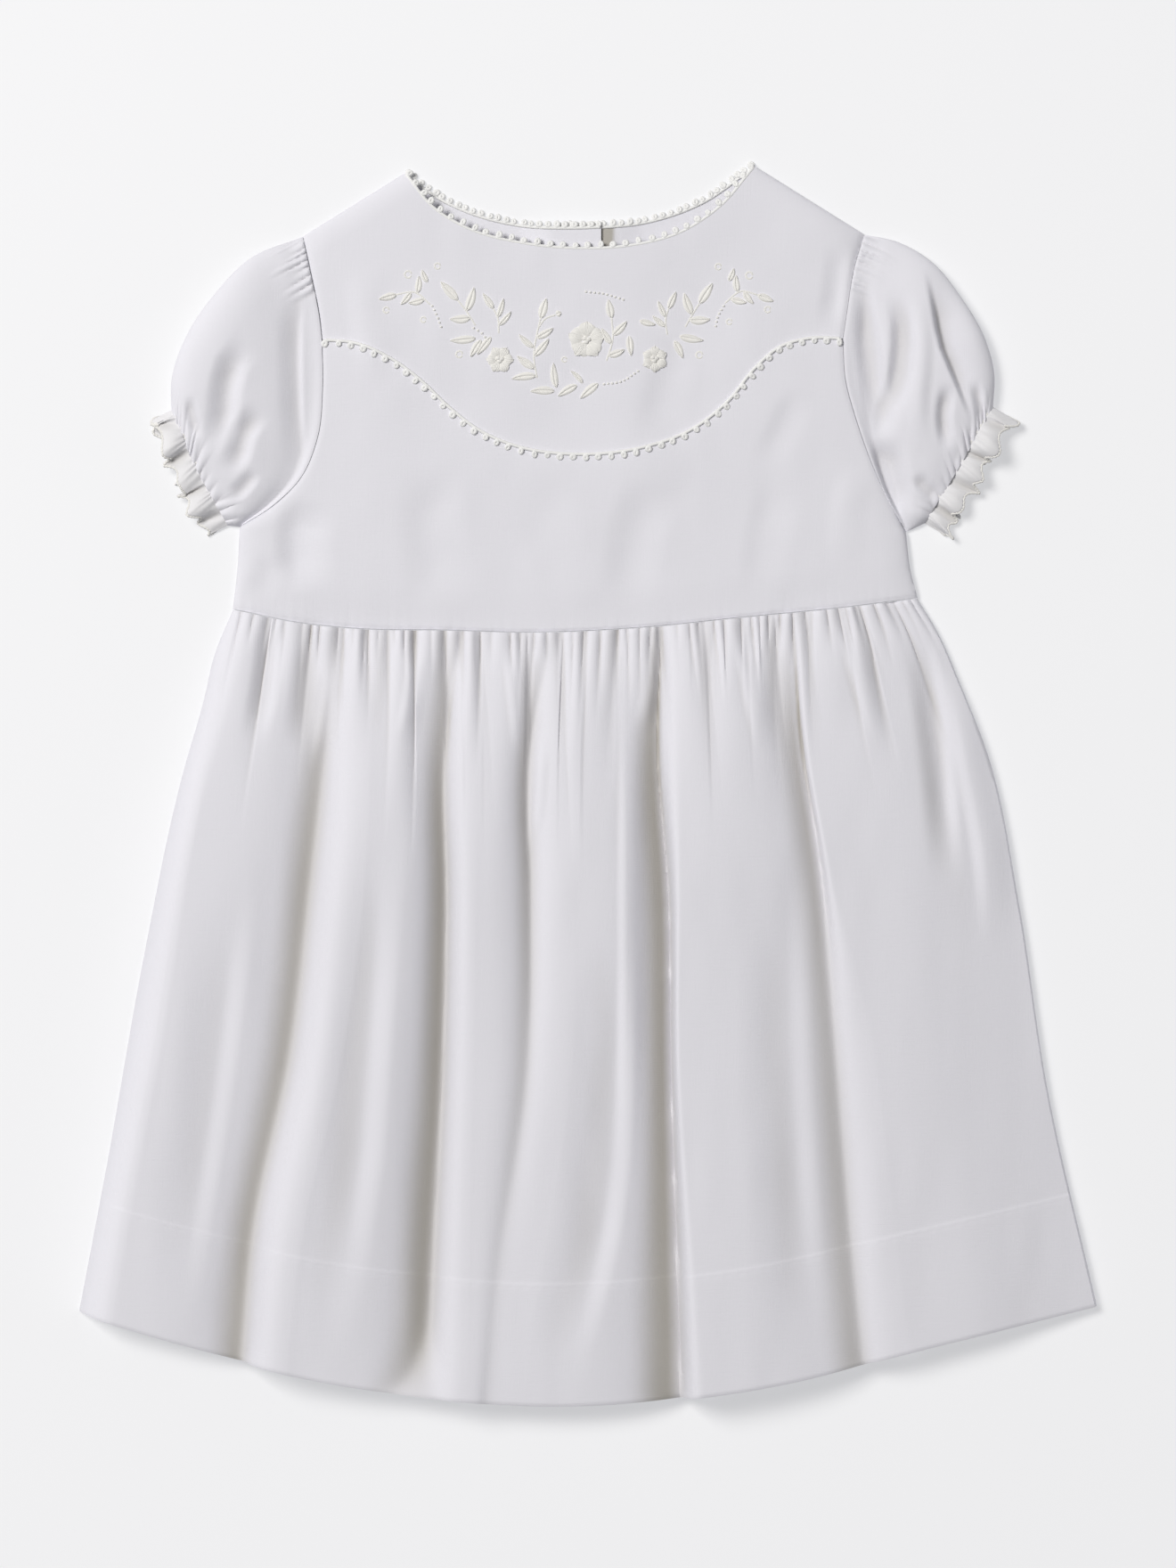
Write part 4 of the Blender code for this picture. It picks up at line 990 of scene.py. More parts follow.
def painted_valley_shade(z, reaches, ring=False):
    """Painted shade for each point of a fold: 0 in the open and 1 low in a valley."""
    total = np.zeros(z.shape)
    inside = np.arange(z.shape[1])
    inside = np.minimum(inside, inside[::-1])
    down = np.linspace(0, 1, z.shape[0])[:, None]
    for reach in reaches:
        mean = blurred(z, reach.columns, 1, ring)
        if reach.rows:
            mean = blurred(mean, reach.rows, 0, False)
        deep = np.roll(np.clip((mean - z) / reach.depth, 0, 1), -reach.shift, axis=1)
        if reach.shift:
            deep = blurred(deep, reach.shift, 1, ring)
        if not ring:
            deep = deep * np.clip(inside / (1.5 * reach.columns) - 0.4, 0, 1)
        low, high = reach.until - SHADE_MARGIN, reach.until + SHADE_MARGIN
        total = np.maximum(total, deep * (1 - soft_step(low, high, down)))
    return total


def kept_as_painted_shade(made, values):
    """Keeps the painted shade of each point as an attribute that the material mixes into its colour."""
    layer = made.data.attributes.new("fold_shade_paint", "FLOAT", "POINT")
    kept = np.zeros(len(made.data.vertices))
    kept[: len(values)] = values
    layer.data.foreach_set("value", kept)
    return made


def in_scene(name, content):
    """A new object in the scene that holds a mesh, a lamp or a camera."""
    made = bpy.data.objects.new(name, content)
    bpy.context.scene.collection.objects.link(made)
    return made


def as_object(name, vertices, faces, material, sharp=50):
    """A mesh object from points in millimetres, smooth but for its sharp corners."""
    mesh = bpy.data.meshes.new(name)
    mesh.from_pydata((np.asarray(vertices) / 1000).tolist(), [], [list(map(int, face)) for face in faces])
    mesh.materials.append(material)
    mesh.shade_smooth()
    mesh.set_sharp_from_angle(angle=math.radians(sharp))
    return in_scene(name, mesh)


def lowest_near(z, step_rows, step_columns):
    """The lowest value in each patch of a height grid, at every step."""
    padded = np.pad(z, ((step_rows, step_rows), (step_columns, step_columns)), mode="edge")
    rows, columns = z.shape
    low = z.copy()
    for i in range(0, 2 * step_rows + 1, max(1, step_rows // 2)):
        for j in range(0, 2 * step_columns + 1, max(1, step_columns // 2)):
            low = np.minimum(low, padded[i : i + rows, j : j + columns])
    return low[::step_rows, ::step_columns]


def laid_panel(name, point, across, down, wall, material, grows_up=False, step=1, reaches=()):
    """A laid piece as a closed shell. The face that shows is fine and its back may be coarser."""
    fine = grid_of(point, across, down)
    coarse = fine[::step, ::step].copy()
    if step > 1:
        coarse[:, :, 2] = lowest_near(fine[:, :, 2], step, step)
    coarse[:, :, 2] += wall if grows_up else -wall
    rows, columns = fine.shape[:2]
    low_rows, low_columns = coarse.shape[:2]
    vertices = np.vstack([fine.reshape(-1, 3), coarse.reshape(-1, 3)])
    first = rows * columns
    faces = list(quads(rows, columns, 0, False, grows_up))
    faces += list(quads(low_rows, low_columns, first, False, not grows_up))
    fine_edge, coarse_edge = border(rows, columns, 0), border(low_rows, low_columns, first)
    for k in range(len(coarse_edge)):
        run = [fine_edge[(k * step + i) % len(fine_edge)] for i in range(step + 1)]
        rim = [coarse_edge[k], coarse_edge[(k + 1) % len(coarse_edge)]] + run[::-1]
        faces.append(rim if grows_up else rim[::-1])
    # Painted shade in the folds of the face that shows, kept as an attribute for the material
    deep = painted_valley_shade(fine[:, :, 2], reaches).ravel()
    return kept_as_painted_shade(as_object(name, vertices, faces, material), deep)


def tube_piece(name, point, around, down, wall, material, mirrored, reaches):
    """A piece that goes once round, with its wall made inside by Solidify."""
    grid = grid_of(point, around[:-1], down)
    rows, columns = grid.shape[:2]
    faces = quads(rows, columns, 0, True, mirrored)
    made = as_object(name, grid.reshape(-1, 3), faces, material)
    # Painted shade in the folds, kept as an attribute for the material
    kept_as_painted_shade(made, painted_valley_shade(grid[:, :, 2], reaches, True).ravel())
    solid = made.modifiers.new("wall", "SOLIDIFY")
    solid.thickness = wall / 1000
    solid.offset = -1.0
    return settled(made)


def above_ground(mesh):
    """Presses what would dip below the resting plane flat onto it."""
    places = np.empty(3 * len(mesh.vertices), dtype=np.float32)
    mesh.vertices.foreach_get("co", places)
    places[2::3] = np.maximum(places[2::3], 0)
    mesh.vertices.foreach_set("co", places)
    mesh.update()


def settled(made):
    """The object with its modifiers worked into a plain mesh."""
    graph = bpy.context.evaluated_depsgraph_get()
    mesh = bpy.data.meshes.new_from_object(made.evaluated_get(graph))
    made.modifiers.clear()
    above_ground(mesh)
    made.data = mesh
    return made


# Stitched leaves, petals, stems and knots of the yoke

STITCH = 0.62
THREAD_RISE = 0.8
SUNK = 0.08  # how far the edge of stitches lies under the top of the cloth
THIN_SUNK = 0.06
LEAF_STEPS = 7  # to a millimetre
LEAF_SIDES = 13
LEAF_STRAIGHT = 0.3
LEAF_FULLNESS = 0.57
LEAF_SLANT = 0.8
LEAF_GROOVE = 0.65
LEAF_GROOVE_WIDTH = 0.2
LEAF_TAPER = 0.8
LEAF_THREAD = 0.2
PETAL_STEPS = 22
PETAL_SIDES = 33
PETAL_THREAD = 0.13
PETAL_RISE = THREAD_RISE * 1.25
KNOT_STEPS = 9
STEM_STEPS = 5  # to a millimetre
STEM_LEAST = 8
STEM_SIDES = 7
STEM_TAPER = 0.3
STEM_HALF = 0.4
STEM_RISE = 0.42
STEM_TWIST = 0.9
HEADING_STEP = 0.06
LEAF_BEND = -0.006
PETAL_SHARE = 0.88
PETAL_WIDTH = 0.76
PETAL_START = 0.16
HEART_KNOTS = 3
HEART_RADIUS = 0.8
HEART_KNOT = (0.95, 1.1)  # its radius and height
DOT_KNOT = (0.5, 0.6)
DOT_PITCH = 1.35
RING_TURN = 1.9 * math.pi

Sprig = namedtuple("Sprig", "path leaves")
Leaf = namedtuple("Leaf", "x y angle length width bend")
Flower = namedtuple("Flower", "x y radius petals turn")

SPRIGS = [
    Sprig(
        [(-19.4, 154.5), (-20.6, 163.0), (-19.2, 172.5), (-18.0, 177.5)],
        [(0.16, 48, 8.5, 2.8), (0.36, -46, 8.8, 2.6), (0.5, 58, 7.8, 2.2), (0.66, -52, 7.6, 2.6)]
        + [(0.98, -2, 8.2, 3.0)],
    ),
    Sprig([(-18.9, 173.5), (-16.4, 177.0), (-12.4, 178.6)], [(1.0, 4, 2.4, 2.2)]),
    Sprig(
        [(7.0, 161.0), (9.4, 169.5), (9.0, 177.5)],
        [(0.12, -54, 6.8, 2.6), (0.4, 50, 7.2, 2.4), (0.6, -44, 7.6, 2.6), (0.98, 6, 7.4, 2.8)],
    ),
    Sprig(
        [(-42.8, 174.5), (-46.6, 180.4), (-49.6, 184.2)],
        [(0.3, 66, 8.0, 3.0), (0.55, -56, 9.6, 3.0), (0.98, 4, 9.8, 3.2)],
    ),
    Sprig(
        [(-34.0, 171.5), (-34.4, 177.6), (-36.0, 181.0)],
        [(0.3, -44, 7.2, 2.0), (0.62, -34, 7.6, 2.0), (0.98, 8, 7.2, 2.4)],
    ),
    Sprig(
        [(30.2, 171.0), (29.6, 177.2), (30.6, 181.0)],
        [(0.3, 44, 6.8, 2.0), (0.66, 36, 7.0, 2.0), (0.98, -8, 7.2, 2.4)],
    ),
    Sprig(
        [(37.0, 174.0), (40.6, 180.2), (42.4, 183.0)],
        [(0.3, -62, 8.0, 3.0), (0.52, 54, 8.8, 3.0), (0.98, 0, 9.4, 3.2)],
    ),
    Sprig(
        [(-60.0, 182.5), (-66.0, 187.2), (-73.0, 186.4)],
        [(0.2, 62, 6.4, 2.4), (0.45, -70, 6.6, 2.4), (0.62, 58, 6.2, 2.2), (0.98, 6, 7.2, 2.6)],
    ),
    Sprig(
        [(52.0, 183.0), (58.4, 187.6), (64.6, 186.2)],
        [(0.2, -62, 6.4, 2.4), (0.45, 70, 6.6, 2.4), (0.62, -58, 6.2, 2.2), (0.98, -6, 6.8, 2.6)],
    ),
]
LOOSE_LEAVES = [
    Leaf(-19.6, 155.4, 184, 9.6, 2.8, 0.3),
    Leaf(-12.0, 150.8, 100, 9.6, 2.6, -0.3),
    Leaf(-12.6, 149.6, 178, 9.4, 2.9, 0.25),
    Leaf(-4.0, 152.0, 208, 8.6, 2.8, 0.2),
    Leaf(4.0, 152.6, 218, 9.0, 2.9, 0.2),
    Leaf(-2.0, 152.4, 128, 6.8, 1.8, 0.5),
    Leaf(15.6, 170.8, -84, 7.8, 2.6, 0.0),
    Leaf(19.4, 176.6, -18, 6.6, 2.2, 0.3),
    Leaf(-42.6, 169.8, 188, 10.0, 2.8, -0.2),
    Leaf(-40.6, 169.2, 236, 7.8, 2.6, 0.2),
    Leaf(-36.8, 170.4, 232, 8.8, 2.6, 0.0),
    Leaf(34.6, 170.6, -12, 9.6, 2.8, 0.2),
    Leaf(32.8, 169.0, -62, 7.6, 2.6, -0.2),
    Leaf(-61.0, 190.8, 118, 5.4, 2.0, -0.4),
    Leaf(53.4, 191.4, 62, 5.4, 2.0, 0.4),
]
FLOWERS = [
    Flower(-0.6, 169.0, 6.8, 5, 18),
    Flower(-33.6, 161.6, 5.0, 6, 0),
    Flower(25.4, 161.8, 4.8, 6, 30),
]
DOTTED_STEMS = [
    [(-0.8, 187.4), (6.0, 186.6), (13.4, 184.4)],
    [(6.0, 152.2), (12.6, 153.2), (19.0, 157.2)],
    [(-59.4, 182.0), (-57.4, 178.0), (-56.0, 174.0)],
    [(-43.6, 173.6), (-40.4, 171.6), (-38.2, 168.6)],
    [(51.6, 182.0), (49.4, 178.0), (48.6, 174.4)],
]
RINGS = [
    (-57.3, 197.2, 1.1), (-68.5, 194.0, 1.3), (-76.8, 180.4, 1.1), (-62.7, 176.8, 1.0),
    (49.6, 197.0, 1.1), (61.4, 193.6, 1.3), (68.4, 180.6, 1.1), (53.8, 176.0, 1.0),
    (-49.0, 163.6, 1.2), (42.4, 163.4, 1.2), (-9.0, 161.6, 0.9),
]
RING_THREAD = 0.42
RING_RISE = 0.4


class Stitching:
    """Gathers many small stitched shapes into one mesh that lies on the yoke."""

    def __init__(self):
        self.vertices = []
        self.faces = []
        self.count = 0

    def add(self, x, y, rise):
        """One grid of stitches, given as places and their heights over the cloth."""
        rows, columns = x.shape
        z = bodice_height(x.ravel(), y.ravel()) + rise.ravel()
        self.vertices.append(np.stack([x.ravel(), y.ravel(), z], axis=1))
        one_way = (np.gradient(x, axis=1) * np.gradient(y, axis=0)).sum()
        flipped = one_way < (np.gradient(y, axis=1) * np.gradient(x, axis=0)).sum()
        self.faces += quads(rows, columns, self.count, False, not flipped).tolist()
        rim = border(rows, columns, self.count)
        self.faces.append(rim[::-1] if flipped else rim)
        self.count += rows * columns

    def leaf(self, x, y, angle, length, width, bend):
        """A pointed leaf in slanting stitches that meet at a groove along its middle."""
        along = np.linspace(0, 1, int(length * LEAF_STEPS) + 1)[:, None]
        across = np.linspace(-1, 1, LEAF_SIDES)[None, :]
        heading = math.radians(angle) + bend * (along - LEAF_STRAIGHT)
        step = length / (len(along) - 1)
        middle_x = x + np.cumsum(np.cos(heading)) * step
        middle_y = y + np.cumsum(np.sin(heading)) * step
        half = LEAF_FULLNESS * width * np.sin(math.pi * along**0.8) ** 0.8 + 0.06
        leaf_x = middle_x[:, None] - np.sin(heading) * half * across
        leaf_y = middle_y[:, None] + np.cos(heading) * half * across
        slant = along * length - LEAF_SLANT * half * np.abs(across)
        dome = np.sqrt(1 - across**2) * (1 - LEAF_GROOVE * np.exp(-((across / LEAF_GROOVE_WIDTH) ** 2)))
        ends = np.clip(np.minimum(along, 1 - along) * length / LEAF_TAPER, 0, 1) ** 0.5
        thread = 1 + LEAF_THREAD * np.cos(2 * math.pi * slant / STITCH)
        self.add(leaf_x, leaf_y, THREAD_RISE * dome * ends * thread - SUNK)

    def petal(self, x, y, angle, length, width, seed):
        """A round petal in stitches that fan out from the flower's middle."""
        along = np.linspace(0, 1, PETAL_STEPS)[:, None]
        across = np.linspace(-1, 1, PETAL_SIDES)[None, :]
        heading = math.radians(angle)
        half = width / 2 * np.sin(math.pi * np.clip(along, 0, 1) ** 1.5) ** 0.55 + 0.05
        ragged = 1 + 0.05 * np.sin(across * 9 + seed) + 0.03 * np.sin(across * 23 + 2 * seed)
        out = along * length * (1 - 0.16 * across**2) * ragged
        petal_x = x + np.cos(heading) * out - np.sin(heading) * half * across
        petal_y = y + np.sin(heading) * out + np.cos(heading) * half * across
        dome = np.sqrt(1 - across**2) * np.sin(math.pi * np.clip(along * 0.94 + 0.03, 0, 1)) ** 0.6
        thread = 1 + PETAL_THREAD * np.cos(2 * math.pi * across * width / 2 / STITCH + seed)
        cupped = 0.7 + 0.5 * along
        self.add(petal_x, petal_y, PETAL_RISE * dome * thread * cupped - SUNK)

    def knot(self, x, y, radius, height):
        """A small round knot."""
        along = np.linspace(0, 1, KNOT_STEPS)[:, None]
        across = np.linspace(-1, 1, KNOT_STEPS)[None, :]
        half = radius * np.sin(math.pi * along) ** 0.5
        place = -radius * np.cos(math.pi * along)
        dome = np.sqrt(np.clip(1 - across**2, 0, 1)) * np.sin(math.pi * along) ** 0.5
        self.add(x + place + 0 * across, y + half * across, height * dome - THIN_SUNK)

    def rope(self, path, half_width, rise):
        """A stem of twisted stitches along a path."""
        length = line_length(path)
        line = smooth_line(path, np.linspace(0, 1, max(STEM_LEAST, int(length * STEM_STEPS))))
        run = np.gradient(line, axis=0)
        run /= np.linalg.norm(run, axis=1)[:, None]
        across = np.linspace(-1, 1, STEM_SIDES)[None, :]
        along = np.linspace(0, length, len(line))[:, None]
        rope_x = line[:, :1] - run[:, 1:] * half_width * across
        rope_y = line[:, 1:] + run[:, :1] * half_width * across
        thread = 0.8 + 0.2 * np.cos(2 * math.pi * (along + 0.4 * across) / STEM_TWIST)
        ends = np.clip(np.minimum(along, length - along) / STEM_TAPER, 0.1, 1)
        self.add(rope_x, rope_y, rise * np.sqrt(1 - across**2) * thread * ends - THIN_SUNK)

    def finished(self, name, material):
        """All the stitches as one object."""
        return as_object(name, np.vstack(self.vertices), self.faces, material, 80)


def stitched_sprig(work, sprig):
    """A stem with its leaves, each turned away from the stem's heading."""
    work.rope(sprig.path, STEM_HALF, STEM_RISE)
    for at, turn, length, width in sprig.leaves:
        (x0, y0), (x, y) = smooth_line(sprig.path, [max(at - HEADING_STEP, 0), at])
        heading = math.degrees(math.atan2(y - y0, x - x0))
        work.leaf(x, y, heading + turn, length, width, LEAF_BEND * turn)


def stitched_flower(work, flower):
    """A flower of round petals with small knots in its middle."""
    width = 2.5 * flower.radius * math.sin(math.pi / flower.petals)
    for number in range(flower.petals):
        angle = flower.turn + 360 * number / flower.petals
        base = flower.radius * PETAL_START
        x = flower.x + base * math.cos(math.radians(angle))
        y = flower.y + base * math.sin(math.radians(angle))
        work.petal(x, y, angle, flower.radius * PETAL_SHARE, width * PETAL_WIDTH, number * 1.7)
    for number in range(HEART_KNOTS):
        angle = math.radians(360 / HEART_KNOTS * number + 20)
        x = flower.x + HEART_RADIUS * math.cos(angle)
        y = flower.y + HEART_RADIUS * math.sin(angle)
        work.knot(x, y, *HEART_KNOT)


def embroider(thread):
    """Sprigs, small flowers, knots and rings spread over the yoke."""
    work = Stitching()
    for sprig in SPRIGS:
        stitched_sprig(work, sprig)
    for leaf in LOOSE_LEAVES:
        work.leaf(*leaf)
    for flower in FLOWERS:
        stitched_flower(work, flower)
    for path in DOTTED_STEMS:
        count = max(3, int(line_length(path) / DOT_PITCH))
        for x, y in smooth_line(path, np.linspace(0, 1, count)):
            work.knot(x, y, *DOT_KNOT)
    for x, y, radius in RINGS:
        turns = np.linspace(0, RING_TURN, 9)
        ring = [(x + radius * math.cos(t), y + radius * math.sin(t)) for t in turns]
        work.rope(ring, RING_THREAD, RING_RISE)
    return work.finished("yoke_embroidery", thread)


# Geometry nodes for the corded trims


def new_nodes(tree, *kinds):
    """One new node of each kind."""
    return [tree.nodes.new(kind) for kind in kinds]


def link(tree, *links):
    """Links between nodes, each given as a node with its output and a node with its input."""
    for source, output, target, entry in links:
        tree.links.new(source.outputs[output], target.inputs[entry])


def fill_in(node, values):
    """Sets the inputs of a node by their names."""
    for entry, value in values.items():
        node.inputs[entry].default_value = value


CIRCLE = "GeometryNodeCurvePrimitiveCircle"
CURVE_TO_MESH = "GeometryNodeCurveToMesh"
PICOT_SIZES = {
    "Piping Radius": PIPING_RADIUS / 1000,
    "Loop Radius": LOOP_RADIUS / 1000,
    "Strand Radius": STRAND_RADIUS / 1000,
}
PICOT_NUMBERS = ("Count", "Turn Seed", "Size Seed")


def set_inputs(modifier, values):
    """Sets the named inputs of a modifier's tree, by their sockets' identifiers."""
    for socket in modifier.node_group.interface.items_tree:
        if socket.in_out == "INPUT" and socket.name in values:
            modifier[socket.identifier] = values[socket.name]


def piping_cord(tree, came, seam):
    """The round cord along the seam."""
    cord, profile = new_nodes(tree, CURVE_TO_MESH, CIRCLE)
    fill_in(profile, {"Resolution": CORD_SIDES})
    fill_in(cord, {"Fill Caps": True})
    link(
        tree,
        (came, "Piping Radius", profile, "Radius"),
        (seam, "Curve", cord, "Curve"),
        (profile, "Curve", cord, "Profile Curve"),
    )
    return cord


def thread_loop(tree, came, side):
    """One small loop of thread, tilted, on one side of the cord."""
    loop, placed, strand, looped = new_nodes(tree, CIRCLE, "GeometryNodeTransform", CIRCLE, CURVE_TO_MESH)
    fill_in(loop, {"Resolution": LOOP_STEPS})
    fill_in(strand, {"Resolution": CORD_SIDES})
    tilt = (math.radians(-LOOP_TILT * side), 0.0, 0.0)
    aside = (0.0, side * LOOP_REACH / 1000, 0.0)
    fill_in(placed, {"Scale": LOOP_STRETCH, "Rotation": tilt, "Translation": aside})
    link(
        tree,
        (came, "Loop Radius", loop, "Radius"),
        (came, "Strand Radius", strand, "Radius"),
        (loop, "Curve", placed, "Geometry"),
        (placed, "Geometry", looped, "Curve"),
        (strand, "Curve", looped, "Profile Curve"),
    )
    return looped


def loop_row(tree, came, seam, looped):
    """The loops along the seam, each with its own small turn and size."""
    evenly, row, tangent, along, turned = new_nodes(
        tree,
        "GeometryNodeResampleCurve",
        "GeometryNodeInstanceOnPoints",
        "GeometryNodeInputTangent",
        "FunctionNodeAlignRotationToVector",
        "FunctionNodeRotateRotation",
    )
    wobble, size = new_nodes(tree, "FunctionNodeRandomValue", "FunctionNodeRandomValue")
    wobble.data_type = size.data_type = "FLOAT_VECTOR"
    least = tuple(-turn for turn in LOOP_WOBBLE)
    fill_in(wobble, {"Min": least, "Max": LOOP_WOBBLE})
    fill_in(size, {"Min": SMALLEST_LOOP, "Max": LARGEST_LOOP})
    along.axis, along.pivot_axis = "X", "Z"
    turned.rotation_space = "LOCAL"
    link(
        tree,
        (came, "Count", evenly, "Count"),
        (came, "Turn Seed", wobble, "Seed"),
        (came, "Size Seed", size, "Seed"),
        (seam, "Curve", evenly, "Curve"),
        (evenly, "Curve", row, "Points"),
        (looped, "Mesh", row, "Instance"),
        (tangent, "Tangent", along, "Vector"),
        (along, "Rotation", turned, "Rotation"),
        (wobble, "Value", turned, "Rotate By"),
        (turned, "Rotation", row, "Rotation"),
        (size, "Value", row, "Scale"),
    )
    return row


def picot_tree(name, thread, side):
    """Turns a seam line into a cord with a row of small thread loops along one of its sides."""
    tree = bpy.data.node_groups.new(name, "GeometryNodeTree")
    for way in ("INPUT", "OUTPUT"):
        tree.interface.new_socket("Geometry", in_out=way, socket_type="NodeSocketGeometry")
    for size in PICOT_SIZES:
        tree.interface.new_socket(size, in_out="INPUT", socket_type="NodeSocketFloat")
    for number in PICOT_NUMBERS:
        tree.interface.new_socket(number, in_out="INPUT", socket_type="NodeSocketInt")
    came, went, seam = new_nodes(tree, "NodeGroupInput", "NodeGroupOutput", "GeometryNodeMeshToCurve")
    link(tree, (came, "Geometry", seam, "Mesh"))
    cord = piping_cord(tree, came, seam)
    row = loop_row(tree, came, seam, thread_loop(tree, came, side))
    finish = ("JoinGeometry", "RealizeInstances", "SetShadeSmooth", "SetMaterial")
    chain = new_nodes(tree, *("GeometryNode" + kind for kind in finish))
    fill_in(chain[-1], {"Material": thread})
    link(tree, (row, "Instances", chain[0], "Geometry"), (cord, "Mesh", chain[0], "Geometry"))
    for source, target in zip(chain, chain[1:] + [went]):
        link(tree, (source, "Geometry", target, "Geometry"))
    return tree


def trim_piece(name, line, thread, side, seed, pitch=PICOT_PITCH):
    """A corded trim along a line of points."""
    mesh = bpy.data.meshes.new(name)
    mesh.from_pydata((line / 1000).tolist(), [(k, k + 1) for k in range(len(line) - 1)], [])
    made = in_scene(name, mesh)
    count = round(line_length(line) / pitch) + 1
    picots = made.modifiers.new("picots", "NODES")
    picots.node_group = picot_tree(name, thread, side)
    set_inputs(picots, {**PICOT_SIZES, **dict(zip(PICOT_NUMBERS, (count, seed, seed + 1)))})
    settled(made)
    made.data.set_sharp_from_angle(angle=math.radians(60))
    return made


def seam_line(flat, height, count):
    """Points along a seam, at a height that depends on the place."""
    x, y = smooth_line(flat, np.linspace(TRIM_END, 1 - TRIM_END, count)).T
    return np.stack([x, y, height(x, y)], axis=1)


# Materials: a look is a colour, how rough and how bumpy it is, and the colour of painted shade in its folds

THREAD_SCALES = ((2600, 160, 400), (160, 2600, 400))
WEAVE_DEPTH = 0.00012
CLOTH_SHEEN = {"Specular IOR Level": 0.25, "Sheen Weight": 0.12, "Sheen Roughness": 0.5}
PEARL_COLOUR = (0.84, 0.82, 0.78)
FLOOR_COLOUR = (0.41, 0.41, 0.413)
FLOOR_GLOW_COLOUR = (0.97, 0.975, 1.0)
FLOOR_GLOW = 0.52
Look = namedtuple("Look", "colour roughness bump deep")
# The last colour of each cloth look is the painted shade of its folds
COTTON = Look((0.764, 0.759, 0.812), 0.88, 0.5, (0.44, 0.42, 0.385))
RIBBON = Look((0.77, 0.765, 0.785), 0.85, 0.35, (0.5, 0.48, 0.45))
THREAD = Look((0.80, 0.79, 0.765), 0.62, 0.0, None)
CORD = Look((0.84, 0.84, 0.835), 0.7, 0.0, None)


def cloth_group():
    """Weave of fine cotton, with its uneven threads, as a bump that several materials share."""
    group = bpy.data.node_groups.new("fine_cotton_bump", "ShaderNodeTree")
    group.interface.new_socket("Strength", in_out="INPUT", socket_type="NodeSocketFloat")
    group.interface.new_socket("Normal", in_out="OUTPUT", socket_type="NodeSocketVector")
    came, went, place, bump, total = new_nodes(
        group,
        "NodeGroupInput",
        "NodeGroupOutput",
        "ShaderNodeTexCoord",
        "ShaderNodeBump",
        "ShaderNodeMath",
    )
    total.operation = "ADD"
    for entry, scale in enumerate(THREAD_SCALES):
        stretched, noise = new_nodes(group, "ShaderNodeMapping", "ShaderNodeTexNoise")
        fill_in(stretched, {"Scale": scale})
        fill_in(noise, {"Scale": 1.0, "Detail": 2.0})
        link(
            group,
            (place, "Object", stretched, "Vector"),
            (stretched, "Vector", noise, "Vector"),
            (noise, "Fac", total, entry),
        )
    fill_in(bump, {"Distance": WEAVE_DEPTH})
    link(
        group,
        (came, "Strength", bump, "Strength"),
        (total, "Value", bump, "Height"),
        (bump, "Normal", went, "Normal"),
    )
    return group


def surface(name, colour, values):
    """A new material and its shader, with a colour and other settings."""
    made = bpy.data.materials.new(name)
    made.use_nodes = True
    shader = made.node_tree.nodes["Principled BSDF"]
    fill_in(shader, {"Base Color": (*colour, 1), **values})
    return made, shader


def cloth(name, look, weave):
    """A soft matt cloth or thread. Cloth gets painted shade in its folds, a darker colour mixed in by an
    attribute, and has a weave.
    """
    made, shader = surface(name, look.colour, {"Roughness": look.roughness, **CLOTH_SHEEN})
    tree = made.node_tree
    if look.deep:
        # The attribute of painted shade mixes a darker colour into the cloth's colour
        depth, mixed = new_nodes(tree, "ShaderNodeAttribute", "ShaderNodeMix")
        depth.attribute_name = "fold_shade_paint"
        mixed.data_type = "RGBA"
        fill_in(mixed, {"A": (*look.colour, 1), "B": (*look.deep, 1)})
        link(tree, (depth, "Fac", mixed, "Factor"), (mixed, "Result", shader, "Base Color"))
    if look.bump:
        (group,) = new_nodes(tree, "ShaderNodeGroup")
        group.node_tree = weave
        fill_in(group, {"Strength": look.bump})
        link(tree, (group, "Normal", shader, "Normal"))
    return made


def pearl(name):
    """The smooth plastic of a shirt button."""
    return surface(name, PEARL_COLOUR, {"Roughness": 0.28, "Coat Weight": 0.3})[0]


def pale_floor():
    """The matt colour of the floor, which glows a little as a white table in a studio does."""
    glow = {"Emission Color": (*FLOOR_GLOW_COLOUR, 1), "Emission Strength": FLOOR_GLOW}
    return surface("pale_floor", FLOOR_COLOUR, {"Roughness": 0.9, "Specular IOR Level": 0.1, **glow})[0]


# Pieces


def yoke_trim(thread):
    """The piping with its picots along the yoke seam."""
    line = seam_line(YOKE_SEAM, lambda x, y: bodice_height(x, y) + YOKE_CORD_RISE, YOKE_CORD_STEPS)
    return trim_piece("yoke_piping", line, thread, -1, 3)


def front_neck_trim(thread):
    """The corded edge of the front neckline."""
    line = seam_line(FRONT_NECK, lambda x, y: bodice_height(x, y) - NECK_CORD_DROP, NECK_CORD_STEPS)
    return trim_piece("neck_cord_front", line, thread, 1, 7)


def back_neck_trim(left_half, thread):
    """The corded edge of one half of the back neckline."""
    span = (OVERLAP_LEFT_EDGE, RIGHT_NECK_CORNER[0])
    if left_half:
        span = (LEFT_NECK_CORNER[0], OVERLAP_RIGHT_EDGE)
    flat = part_edge(BACK_NECK, *span)(np.linspace(0, 1, BACK_NECK_POINTS))
    rise = CLOTH - BACK_CORD_DROP
    line = seam_line(flat, lambda x, y: overlap_lift(left_half, x, y) + rise, BACK_CORD_STEPS)
    name = "neck_cord_back_left" if left_half else "neck_cord_back_right"
    return trim_piece(name, line, thread, 1, 9 if left_half else 12, NECK_PITCH)


